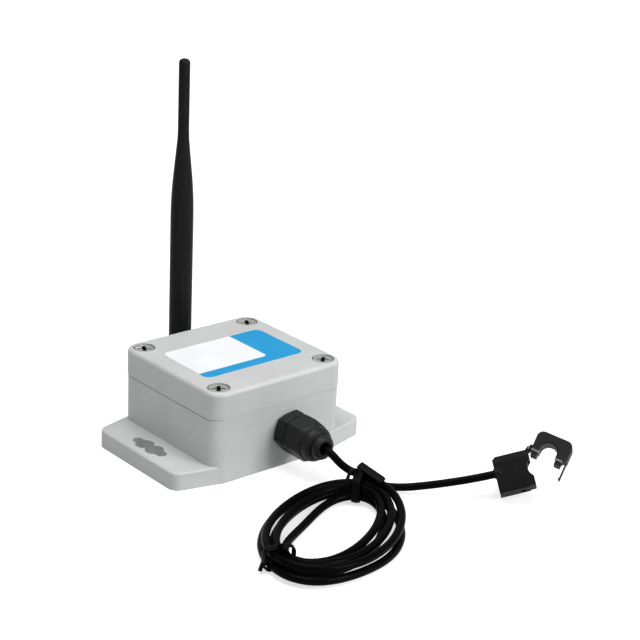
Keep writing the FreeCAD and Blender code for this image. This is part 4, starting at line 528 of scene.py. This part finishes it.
def filled_in(outline, step):
    """Adds points along the sides of a closed outline, about a step apart."""
    sides = np.linalg.norm(np.diff(outline, axis=0, append=outline[:1]), axis=1)
    return np.array([a + (b - a) * t
                     for a, b, side in zip(outline, np.roll(outline, -1, 0), sides)
                     for t in np.linspace(0, 1, max(1, int(side / step)), endpoint=False)])


def turned_along_y(radius, angle, y, axis_x, axis_z):
    """A looped surface about an axis along Y: the place on the axis becomes the second number."""
    rings = rings_about_axis(radius, angle, y)[..., [0, 2, 1]]
    return closed_surface(rings + [axis_x, 0, axis_z], looped=True)


def hexagon_reach(angle, flats):
    """Distance from the axis to a hexagon's side: half the flats over the cosine of the angle off
    the side's middle."""
    off_middle = (angle + math.pi / 6) % (math.pi / 3) - math.pi / 6
    return flats / 2 / np.cos(off_middle)


def gland_cap_nut():
    """Radius and distance from the wall follow the profile, and the hexagon bounds the radius."""
    profile = filled_in(eased_loop(CAP_PROFILE, CAP_EASE), CAP_STEP)
    angle = circle_angles(NUT_POINTS)
    radius = np.minimum(profile[:, :1], hexagon_reach(angle - CAP_TURN - math.pi / 6, CAP_FLATS))
    return turned_along_y(radius, angle, FRONT_WALL_Y - profile[:, 1:], GLAND_AXIS_X, GLAND_AXIS_Z)


piece("gland_nut_moulding", [gland_cap_nut()], "gland_nut", black_nylon, ["gland_cap_nut"],
      sharp=28)

# %% [markdown]
# ## The antenna's coupling nut
# The nut that screws on the jack has straight knurls for the fingers. It is turned from a
# profile too, and the knurl is a wave round its rim that fades out towards both ends.

# %% A knurled nut
BACK_WALL_Y, ANTENNA_AXIS_Z = 30.8, 15.5
KNURLS, KNURL_DEPTH = 20, 0.35
KNURL_START, KNURL_END, KNURL_FADE, KNURLED_FROM_RADIUS = 3.4, 9.6, 0.5, 4.9
COUPLING_PROFILE = [(4.55, 3.0), (5.0, 3.5), (5.0, 9.5), (4.55, 10.0), (2.55, 10.0), (2.55, 9.0),
                    (3.2, 9.0), (3.2, 3.0)]
COUPLING_EASE, COUPLING_STEP = 0.25, 0.3


def coupling_nut():
    """Radius less the knurl's wave, a cosine raised to a sharp crest, times a fade at both ends."""
    profile = filled_in(eased_loop(COUPLING_PROFILE, COUPLING_EASE), COUPLING_STEP)
    rim, reach = profile[:, :1], profile[:, 1:]
    angle = circle_angles(NUT_POINTS)
    wave = (0.5 + 0.5 * np.cos(KNURLS * angle)) ** 3
    fade = np.clip(np.minimum(reach - KNURL_START, KNURL_END - reach) / KNURL_FADE, 0, 1)
    radius = rim - KNURL_DEPTH * wave * fade * (rim > KNURLED_FROM_RADIUS)
    return turned_along_y(radius, angle, BACK_WALL_Y + reach, WHIP_X, ANTENNA_AXIS_Z)


piece("antenna_coupling_nut", [coupling_nut()], "antenna_coupling", black_nylon, ["antenna_nut"],
      sharp=30)

# %% [markdown]
# ## The lead
# The lead is one limp round cord of 3.1 mm. It drops out of the gland, joins a coil of
# five oval turns in two layers that two ties hold, leaves it low and runs over the floor
# into the clamp. It is one smooth spline through all of that. The turns come from one
# loop: the oval shrinks by a cable's width each turn and grows again in the layer below.
# At the ties the turns are pinched together and lifted a little. Between the ties they
# spread, and three short stretches stray.

# %% The coil's turns from one formula
LEAD_RADIUS = 1.55
COIL_CENTRE = np.array([-22.4, -88.4, 0.0])
COIL_HALF = (37.4, 24.8)
COIL_HEADING, TIE_ANGLE = math.radians(30), math.radians(-4)
FIRST_TURN, LAST_TURN, MIDDLE_TURN = 0.013, 4.958, 2.5
TIED_PITCH, FREE_PITCH_MORE = 3.25, 1.1
STRAYS = [(3.6, 2.80, 0.24), (-3.6, 4.25, 0.18), (-2.6, 4.46, 0.15)]
SWING_OUT, SWING_FROM = 1.2, 4.6
TIE_LIFT, LAYER_RISE, START_RISE, START_TURNS = 1.5, 3.65, 1.6, 0.25


def coil_point(turns):
    """A point after some turns: an ellipse less its inset, turned by the heading, with its height
    by layer. The inset grows by one pitch a turn to the coil's middle and shrinks after it, and the
    pitch is least at the ties. A stray stretch leaves the bundle by a squared cosine: its reach
    inwards, its middle and its half width in turns."""
    turns = np.asarray(turns, float)
    angle = -2 * math.pi * turns
    free = np.sin(angle - TIE_ANGLE) ** 2
    inset = (MIDDLE_TURN - np.abs(turns - MIDDLE_TURN)) * (TIED_PITCH + FREE_PITCH_MORE * free)
    for reach, middle, half in STRAYS:
        share = np.clip((turns - middle) / half, -1, 1)
        inset = inset + reach * np.cos(math.pi / 2 * share) ** 2
    swing = np.maximum(0, turns - SWING_FROM) / (LAST_TURN - SWING_FROM)
    inset = inset - SWING_OUT * swing ** 2
    x = (COIL_HALF[0] - inset) * np.cos(angle)
    y = (COIL_HALF[1] - inset) * np.sin(angle)
    fall = np.clip((turns - MIDDLE_TURN) * 2 + 0.5, 0, 1)
    z = LEAD_RADIUS + TIE_LIFT * (1 - free) + LAYER_RISE * (1 - fall * fall * (3 - 2 * fall))
    z = z + START_RISE * np.maximum(0, 1 - turns / START_TURNS) ** 2
    c, s = math.cos(COIL_HEADING), math.sin(COIL_HEADING)
    return COIL_CENTRE + np.stack([c * x - s * y, s * x + c * y, z], -1)


def coil_direction(turns, nearby=0.001):
    """The coil's heading there, from two points close to it."""
    step = coil_point(turns + nearby) - coil_point(turns - nearby)
    return step / np.linalg.norm(step)


# %% [markdown]
# The route adds a few points before and after the turns: out of the gland and down, and
# along the floor up to the clamp's mouth.

# %% One spline from the gland to the clamp
GLAND_EXIT = (4.3, -50.0, 14.7)
COIL_POINTS = 120
RUN_IN, RUN_OUT = 3.3, 7.5
LEAD_ROUNDNESS = 5
start_heading, end_heading = coil_direction(FIRST_TURN), coil_direction(LAST_TURN)
coil_start = coil_point(FIRST_TURN) - start_heading * 2 * LEAD_RADIUS
coil_end = coil_point(LAST_TURN) + end_heading * 2 * LEAD_RADIUS
lead_in = [GLAND_EXIT, (4.3, -53.6, 14.7), (4.6, -57.1, 13.6), (5.3, -60.25, 11.5),
           (7.15, -62.85, 9.35), coil_start - start_heading * RUN_IN, coil_start]
turns = coil_point(np.linspace(FIRST_TURN, LAST_TURN, COIL_POINTS))
lead_out = [coil_end, coil_end + end_heading * RUN_OUT, (22.6, -76.6, 2.6), (30.8, -82.8, 3.8),
            (38.4, -90.2, 6.2), (46.5, -97.17, 8.81), (50.68, -100.66, 10.52)]
lead_route = np.concatenate([np.array(lead_in), turns, np.array(lead_out)])

lead_curve = bpy.data.curves.new("signal_lead", "CURVE")
lead_curve.dimensions = "3D"
lead_spline = lead_curve.splines.new("NURBS")
lead_spline.points.add(len(lead_route) - 1)
for control, place in zip(lead_spline.points, lead_route * MM):
    control.co = (*place, 1.0)
lead_spline.order_u = 3
lead_spline.use_endpoint_u = True
lead_spline.resolution_u = LEAD_ROUNDNESS
lead_curve.bevel_depth = LEAD_RADIUS * MM
lead_curve.bevel_resolution = LEAD_ROUNDNESS
lead_curve.use_fill_caps = True
lead_curve.materials.append(pvc_sheath)
signal_lead = placed("signal_lead", lead_curve)
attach(signal_lead, "base")
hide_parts("cable_lead", "cable_coil", "cable_tail")
print("lead control points", len(lead_route))

# %% [markdown]
# ## The twist ties
# A twist tie is a flat plastic strip over a wire, which shows as a rib along its middle.
# It is bent round all the strands, twisted on itself and its free end laid down. The
# strip's section is carried along a path: its width and its thickness turn with the path.

# %% A ribbed strip along a path
TIE_WIDTH, TIE_THICKNESS, WIRE_RIB, RIB_SPREAD = 3.2, 0.55, 0.18, 0.45
SECTION_POINTS, EDGE_POWER = 17, 14


def strip_section():
    """Across the strip: both faces bulge over the wire by a bell curve, and the edges are half
    round, by the root of one less a high power of the place across."""
    across = np.cos(np.linspace(0, math.pi, SECTION_POINTS))
    bulge = WIRE_RIB * np.exp(-(across * TIE_WIDTH / 2 / RIB_SPREAD) ** 2)
    edge = np.sqrt(np.clip(1 - np.abs(across) ** EDGE_POWER, 0, 1))
    upper = np.stack([across * TIE_WIDTH / 2, TIE_THICKNESS / 2 * edge + bulge], -1)
    return np.concatenate([upper, upper[-2:0:-1] * [1, -1]])


def strip_along(path, width, normal, looped=False):
    """Carries the section along the path, width and thickness laid on the two directions."""
    section = strip_section()
    rings = (path[:, None] + section[None, :, :1] * width[:, None]
             + section[None, :, 1:] * normal[:, None])
    return closed_surface(rings, looped)


# %% [markdown]
# A tie's band takes its size from the strands that it holds. They are points of the coil
# that lie a whole turn apart.

# %% The band round the strands
MOST_STRANDS, START_SLACK = 6, 0.02
TIE_ROOM = 0.75
BAND_CORNER, BAND_CORNER_POINTS = 2.4, 14


def tie_place(turns):
    """Where a tie sits: the middle, half width and half height of the strands there, with the
    directions along, across and up."""
    strands = np.array([turns - k for k in range(MOST_STRANDS) if turns - k > -START_SLACK])
    along = sum(coil_direction(strand) for strand in strands) * [1, 1, 0]
    along = along / np.linalg.norm(along)
    across, up = np.cross(along, [0, 0, 1]), np.array([0.0, 0.0, 1.0])
    places = coil_point(strands)
    sides, heights = places @ across, places[:, 2]
    middle = places.mean(0) + across * ((sides.max() + sides.min()) / 2 - sides.mean())
    middle[2] = (heights.max() + heights.min()) / 2
    half = [np.ptp(spread) / 2 + LEAD_RADIUS + TIE_ROOM for spread in (sides, heights)]
    return middle, half, along, across, up


def tie_band(place):
    """The band: a rounded rectangle round the strands, in the plane across them."""
    middle, half, along, across, up = place
    outline = rounded_rectangle(half[0], half[1], BAND_CORNER, 0.0, BAND_CORNER_POINTS)
    step = np.roll(outline, -1, 0) - np.roll(outline, 1, 0)
    step = step / np.linalg.norm(step, axis=1)[:, None]
    path = middle + outline[:, :1] * across + outline[:, 1:2] * up
    normal = step[:, 1:2] * across - step[:, :1] * up
    return strip_along(path, np.repeat(along[None], len(path), 0), normal, looped=True)


# %% [markdown]
# The free ends are strips along short paths of a few points, smoothed by arcs. Near its
# root an end can be twisted: the section turns about the path and unwinds along it.

# %% Free ends
ARC_STEPS = 10


def smooth_path(corners):
    """A curve from corner to corner: the middles of the runs are joined by quadratic arcs that the
    corners pull."""
    corners = np.asarray(corners, float)
    middles = (corners[1:] + corners[:-1]) / 2
    middles[0], middles[-1] = corners[0], corners[-1]
    t = np.linspace(0, 1, ARC_STEPS, endpoint=False)[:, None]
    arcs = [(1 - t) ** 2 * a + 2 * t * (1 - t) * c + t ** 2 * b
            for a, c, b in zip(middles, corners[1:], middles[1:])]
    return np.concatenate(arcs + [corners[-1:]])


def free_strip(corners, flat_side, twist=(0.0, 0.0, 0.0), narrow=1.0):
    """A strip along a smooth path, its width square to the path and level with flat_side where it
    isn't twisted. twist gives the turn in degrees at the start and the two shares of the length
    between which it unwinds."""
    path = smooth_path(corners)
    step = np.gradient(path, axis=0)
    step /= np.linalg.norm(step, axis=1)[:, None]
    normal = np.cross(step, np.asarray(flat_side, float))
    normal /= np.linalg.norm(normal, axis=1)[:, None]
    width = np.cross(normal, step)
    run = np.concatenate([[0], np.cumsum(np.linalg.norm(np.diff(path, axis=0), axis=1))])
    start, until = twist[1] * run[-1], twist[2] * run[-1]
    share = np.clip((until - run) / max(until - start, 1e-9), 0, 1)[:, None]
    turn = math.radians(twist[0]) * share
    turned_width = np.cos(turn) * width + np.sin(turn) * normal
    turned_normal = np.cos(turn) * normal - np.sin(turn) * width
    return strip_along(path, turned_width * narrow, turned_normal)


def on_tie(place, route):
    """Points given from a tie's middle: along the strands, across them and above the table."""
    middle, _, along, across, up = place
    route = np.asarray(route, float)
    return middle * [1, 1, 0] + route[:, :1] * along + route[:, 1:2] * across + route[:, 2:] * up


# %% [markdown]
# The near tie's two ends are twisted together and laid forward over the strands. One end
# is folded back and shows its square cut. A second, slack turn stands clear of the bundle
# beside the band. The far tie is short: one end lies back over the strands after a half
# twist, and the other is a stub that points down beside the bundle.

# %% Two ties
NEAR_TURN, FAR_TURN = 4.99, 4.58
NEAR_END = [(0.0, -2.6, 10.1), (2.0, -2.4, 11.3), (5.0, -1.0, 10.2), (8.6, 1.8, 8.9),
            (9.6, 2.4, 10.0), (5.6, 0.2, 11.0), (-0.6, -3.4, 12.6)]
NEAR_SLACK = [(-0.4, -2.2, 10.6), (-2.2, 0.2, 12.6), (-3.0, 5.0, 12.4), (-3.3, 8.6, 10.0),
              (-3.2, 8.3, 7.6)]
FAR_END = [(0.0, -0.8, 8.6), (-1.0, 0.2, 9.3), (-3.4, 1.2, 9.0), (-5.6, 1.4, 8.4)]
FAR_STUB = [(0.0, -5.9, 3.4), (-0.6, -6.9, 2.2), (-1.2, -7.5, 1.1)]

near_place, far_place = tie_place(NEAR_TURN), tie_place(FAR_TURN)
near_end = free_strip(on_tie(near_place, NEAR_END), (0.9, 0.0, 0.35), twist=(540, 0.04, 0.42))
near_slack = free_strip(on_tie(near_place, NEAR_SLACK), near_place[2], narrow=0.42)
far_end = free_strip(on_tie(far_place, FAR_END), far_place[2], twist=(180, 0.05, 0.6))
far_stub = free_strip(on_tie(far_place, FAR_STUB), far_place[2], narrow=0.7)
tie_near = piece("twist_tie_near_strip", [tie_band(near_place), near_end, near_slack], "base",
                 pvc_tie, ["twist_tie_near"])
tie_far = piece("twist_tie_far_strip", [tie_band(far_place), far_end, far_stub], "base",
                pvc_tie, ["twist_tie_far"])
print("near tie", near_place[0].round(2), "far tie", far_place[0].round(2))

# %% [markdown]
# ## Moulded shells with softened edges
# A solid's mesh arrives as loose triangles. A copy of it is merged into one skin, its flat
# regions become single faces, and a bevel that looks only for real edges rounds them by
# the radius that a mould leaves. The solid itself is left as it is and the copy is shown.

# %% Merged copies with a small bevel
MOULD_RADIUS = 0.3
WELD_WITHIN, FLAT_WITHIN, EDGE_FROM = 0.002, 0.5, 32


def softened(node, name, finish):
    """A merged copy of a solid's skin, with edges past an angle rounded by the mould's radius."""
    mesh = frame["nodes"][node].data.copy()
    mesh.name = name
    mesh.materials.clear()
    mesh.materials.append(finish)
    work = bmesh.new()
    work.from_mesh(mesh)
    bmesh.ops.remove_doubles(work, verts=work.verts, dist=WELD_WITHIN * MM)
    bmesh.ops.dissolve_limit(work, angle_limit=math.radians(FLAT_WITHIN), verts=work.verts,
                             edges=work.edges)
    work.to_mesh(mesh)
    work.free()
    if "custom_normal" in mesh.attributes:
        mesh.attributes.remove(mesh.attributes["custom_normal"])
    mesh.shade_smooth()
    obj = placed(name, mesh)
    bevel = obj.modifiers.new("moulded edges", "BEVEL")
    bevel.width = MOULD_RADIUS * MM
    bevel.segments = 2
    bevel.limit_method = "ANGLE"
    bevel.angle_limit = math.radians(EDGE_FROM)
    bevel.harden_normals = True
    bevel.miter_outer = "MITER_ARC"
    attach(obj, BODY_OF[node])
    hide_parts(node)
    print(name, "merged faces", len(mesh.polygons))


softened("clamp_body", "clamp_housing", clamp_nylon)
softened("jaw_shell", "jaw_moulding", jaw_nylon)

# %% [markdown]
# ## The circuit board
# The board is glass fibre laminate under a green solder mask. Copper runs show through as
# slightly lighter bands along the board, and vias as small pale dots.

# %% Solder mask with tracks
TRACK_UNIT, VIA_CELL, VIA_REACH, MASK_RELIEF = 2.54, 5, 0.09, 0.035


def solder_mask():
    """Tracks are long low bricks, two rows to an inch's tenth, and vias the cores of a pattern of
    cells."""
    material, place = empty_material("green_masked_laminate")
    tracks = add(material, "ShaderNodeTexBrick",
                 {"Scale": 1 / (TRACK_UNIT * MM), "Mortar Size": 0.12, "Brick Width": 6.0,
                  "Row Height": 0.5, "Color1": linear("#1E6B3C"), "Color2": linear("#1A6035"),
                  "Mortar": linear("#124A28")}, {"Vector": (place, "Object")})
    cells = add(material, "ShaderNodeTexVoronoi", {"Scale": 1 / (VIA_CELL * MM)},
                {"Vector": (place, "Object")})
    via = add(material, "ShaderNodeMath", {1: VIA_REACH}, {0: (cells, "Distance")},
              operation="LESS_THAN")
    tone = add(material, "ShaderNodeMix", {MIX_B: linear("#B9A878")},
               {MIX_FACTOR: (via, "Value"), MIX_A: (tracks, "Color")}, data_type="RGBA")
    bump = add(material, "ShaderNodeBump", {"Strength": 0.6, "Distance": MASK_RELIEF * MM},
               {"Height": (tracks, "Fac")}, invert=True)
    shader = add(material, "ShaderNodeBsdfPrincipled", {"Roughness": 0.32},
                 {"Base Color": (tone, MIXED), "Normal": (bump, "Normal")})
    add(material, "ShaderNodeOutputMaterial", links={"Surface": (shader, "BSDF")})
    return material


# %% [markdown]
# The cell wears a shrunk PVC sleeve with a plain band. The winding is enamelled copper
# wire wound side by side, which shows as parallel ridges, with painted highlight on
# their crests and painted shade between the turns.

# %% Shrink sleeve and copper winding
BAND_FROM_X, SHRINK_SIZE, SHRINK_RELIEF = 9, 2.5, 0.03
WIRE_WAVE, WIRE_RELIEF = 6, 0.06


def shrunk_sleeve():
    """A green tube with a pale band past one place along it, and a slight ripple from shrinking."""
    material, place = empty_material("green_shrunk_pvc")
    axes = add(material, "ShaderNodeSeparateXYZ", links={"Vector": (place, "Object")})
    band = add(material, "ShaderNodeMath", {1: BAND_FROM_X * MM}, {0: (axes, "X")},
               operation="GREATER_THAN")
    tone = add(material, "ShaderNodeMix", {MIX_A: linear("#1F6E52"), MIX_B: linear("#E4E6E2")},
               {MIX_FACTOR: (band, "Value")}, data_type="RGBA")
    ripple = add(material, "ShaderNodeTexNoise", {"Scale": 1 / (SHRINK_SIZE * MM)},
                 {"Vector": (place, "Object")})
    return ended(material, (tone, MIXED), (ripple, "Fac"), (0.22, 0.32), (ripple, "Fac"),
                 SHRINK_RELIEF)


def enamelled_winding():
    """A wave along the diagonal lifts the surface like laid wire, and its colour carries painted
    highlight on the crests and painted shade between the turns.
    """
    material, place = empty_material("enamelled_copper_wire")
    laid = add(material, "ShaderNodeTexWave", {"Scale": 1 / (WIRE_WAVE * MM), "Distortion": 0.3},
               {"Vector": (place, "Object")}, bands_direction="DIAGONAL")
    # Painted highlight and shade: the colour is lighter on the wave's crests and darker in its
    # troughs.
    tone = two_tones(material, laid, "Fac", "#7E3F1E", "#B5673A")
    bump = add(material, "ShaderNodeBump", {"Strength": 1.0, "Distance": WIRE_RELIEF * MM},
               {"Height": (laid, "Fac")})
    shader = add(material, "ShaderNodeBsdfPrincipled", {"Metallic": 1.0, "Roughness": 0.34},
                 {"Base Color": (tone, "Color"), "Normal": (bump, "Normal")})
    add(material, "ShaderNodeOutputMaterial", links={"Surface": (shader, "BSDF")})
    return material


# %% [markdown]
# Every solid that keeps its own mesh now gets its finish.

# %% Finishes of the solids
FINISHES = {
    grey_polycarbonate: ["base_shell", "lid_shell"],
    black_nylon: ["gland_body", "gland_locknut", "antenna_base"],
    clamp_nylon: ["clamp_back_cover"],
    jaw_nylon: ["jaw_cover"],
    pale_nylon: ["jaw_pads"],
    seal_rubber: ["lid_seal", "gland_gasket", "gland_seal", "clamp_grommet"],
    terminal_plastic: ["terminal_block"],
    holder_plastic: ["battery_holder"],
    chip_plastic: ["board_chips"],
    bobbin_plastic: ["clamp_bobbin"],
    whip_finish: ["antenna_sheath"],
    pvc_sheath: ["cable_inner"],
    wire_insulation: ["board_conductors", "clamp_conductors"],
    coax_jacket: ["antenna_coax"],
    zinc_steel: ["board_screws", "terminal_screws", "jack_washer", "jack_nut"],
    spring_steel: ["clamp_hinge_pin", "jaw_core_spring", "antenna_hinge_pin"],
    turned_brass: ["threaded_inserts", "antenna_radiator"],
    gilt_brass: ["antenna_jack"],
    nickel_sheet: ["battery_contacts", "radio_module"],
    ferrite: ["clamp_lower_core", "jaw_core"],
    solder_mask(): ["circuit_board"],
    shrunk_sleeve(): ["battery_cell"],
    enamelled_winding(): ["clamp_winding"],
}
for finish, nodes in FINISHES.items():
    for node in nodes:
        mesh = frame["nodes"][node].data
        mesh.materials.clear()
        mesh.materials.append(finish)
print("solids finished", sum(len(nodes) for nodes in FINISHES.values()))

# %% [markdown]
# ## Floor, light and camera
# The meter lies on a white table in a bright tent. The floor is matt white. For camera
# and transmitted rays it glows a little as well, so that it reads as white paper and
# still keeps the object's soft shadow, and for glossy rays it glows by a share of that,
# so that black plastics stay black. Plain lamps light the object. From here on, places
# and lengths are metres.

# %% A white table
TABLE_HALF = 4.0
TABLE_GLOSS_SHARE = 0.4
NEAR_REACH, FAR_REACH, NEAR_GLOW = 0.3, 0.9, 0.66


def white_table():
    """Matt white, plus a glow that grows outwards and that glossy rays see only by a share."""
    material, place = empty_material("white_table")
    path = add(material, "ShaderNodeLightPath")
    mirrored = add(material, "ShaderNodeMath", {1: TABLE_GLOSS_SHARE},
                   {0: (path, "Is Glossy Ray")}, operation="MULTIPLY")
    seen = add(material, "ShaderNodeMath", operation="MAXIMUM",
               links={0: (path, "Is Camera Ray"), 1: (mirrored, "Value")})
    seen = add(material, "ShaderNodeMath", operation="MAXIMUM",
               links={0: (seen, "Value"), 1: (path, "Is Transmission Ray")})
    reach = add(material, "ShaderNodeVectorMath", links={0: (place, "Object")}, operation="LENGTH")
    level = add(material, "ShaderNodeMapRange",
                {"From Min": NEAR_REACH, "From Max": FAR_REACH, "To Min": NEAR_GLOW, "To Max": 1.0},
                {"Value": (reach, "Value")})
    glow = add(material, "ShaderNodeMath", operation="MULTIPLY",
               links={0: (seen, "Value"), 1: (level, "Result")})
    shader = add(material, "ShaderNodeBsdfPrincipled",
                 {"Base Color": linear("#D0D0D0"), "Roughness": 0.9,
                  "Emission Color": (1.0, 1.0, 1.0, 1.0)}, {"Emission Strength": (glow, "Value")})
    add(material, "ShaderNodeOutputMaterial", links={"Surface": (shader, "BSDF")})
    return material


table_mesh = bpy.data.meshes.new("table")
corners = [(sx * TABLE_HALF, sy * TABLE_HALF, 0) for sx, sy in ((-1, -1), (1, -1), (1, 1), (-1, 1))]
table_mesh.from_pydata(corners, [], [(0, 1, 2, 3)])
table_mesh.materials.append(white_table())
table = placed("table", table_mesh)

# %% [markdown]
# The tent is the world. It is plain white to camera and transmitted rays, gives glossy
# rays a share of that, and lights the object only weakly.

# %% A white tent
TENT_GLOSS_SHARE, TENT_LIGHT = 0.3, 0.2

world = bpy.data.worlds.new("white_tent")
bpy.context.scene.world = world
world.use_nodes = True
world.node_tree.nodes.clear()
rays = add(world, "ShaderNodeLightPath")
mirrored = add(world, "ShaderNodeMath", {1: TENT_GLOSS_SHARE}, {0: (rays, "Is Glossy Ray")},
               operation="MULTIPLY")
seen = add(world, "ShaderNodeMath", operation="MAXIMUM",
           links={0: (rays, "Is Camera Ray"), 1: (rays, "Is Transmission Ray")})
seen = add(world, "ShaderNodeMath", operation="MAXIMUM",
           links={0: (seen, "Value"), 1: (mirrored, "Value")})
strength = add(world, "ShaderNodeMapRange", {"To Min": TENT_LIGHT, "To Max": 1.0},
               {"Value": (seen, "Value")})
sky = add(world, "ShaderNodeBackground", {"Color": (1.0, 1.0, 1.0, 1.0)},
          {"Strength": (strength, "Result")})
add(world, "ShaderNodeOutputWorld", links={"Surface": (sky, "Background")})
print("tent", world.name)

# %% [markdown]
# A soft lamp stands in front to the right, above the gland's side, and leaves the
# flange's side in half shade. A small weak one from the left opens that shade. A large
# one overhead lights the lid and the flanges and gives the shadow under the coil.

# %% Lamps
LIT_MIDDLE = np.array([0.0, -0.03, 0.02])


def aim(obj, right, up, back, place):
    """Lays an object's X, Y and Z on three directions and puts it in its place."""
    rows = [[right[i], up[i], back[i], place[i]] for i in range(3)]
    obj.matrix_world = Matrix(rows + [[0, 0, 0, 1]])


def lamp(name, place, size, power):
    """A square area lamp that faces the middle of the object."""
    data = bpy.data.lights.new(name, "AREA")
    data.size = size
    data.energy = power
    back = np.array(place, float) - LIT_MIDDLE
    back /= np.linalg.norm(back)
    right = np.cross([0.0, 0.0, 1.0], back)
    right /= np.linalg.norm(right)
    aim(placed(name, data), right, np.cross(back, right), back, place)
    print(name, "lamp", size, "m", power, "W")


lamp("key", (0.38, -1.0, 0.6), 0.6, 8.8)
lamp("fill", (-0.75, -0.55, 0.75), 0.22, 0.35)
lamp("top", (-0.12, 0.0, 1.2), 0.8, 9.8)

# %% [markdown]
# The camera is where the photograph's camera was, found from the box, the antenna, the
# coil and the clamp: a long lens two thirds of a metre away, turned by a slight roll.

# %% Camera
CAMERA_PLACE = np.array([-0.3936, -0.4979, 0.2945])
AZIMUTH, ELEVATION, ROLL = (math.radians(angle) for angle in (-41.379, 20.832, 2.757))
SENSOR_WIDTH, LENS, NEAREST = 36.0, 96.67, 0.01

back = np.array([math.sin(AZIMUTH) * math.cos(ELEVATION), -math.cos(AZIMUTH) * math.cos(ELEVATION),
                 math.sin(ELEVATION)])
level = np.array([math.cos(AZIMUTH), math.sin(AZIMUTH), 0.0])
upright = np.cross(back, level)
right = math.cos(ROLL) * level + math.sin(ROLL) * upright
up = math.cos(ROLL) * upright - math.sin(ROLL) * level
camera_data = bpy.data.cameras.new("camera")
camera_data.sensor_width = SENSOR_WIDTH
camera_data.lens = LENS
camera_data.clip_start = NEAREST
camera = placed("camera", camera_data)
aim(camera, right, up, back, CAMERA_PLACE)
bpy.context.scene.camera = camera
bpy.context.scene.view_settings.view_transform = "Standard"
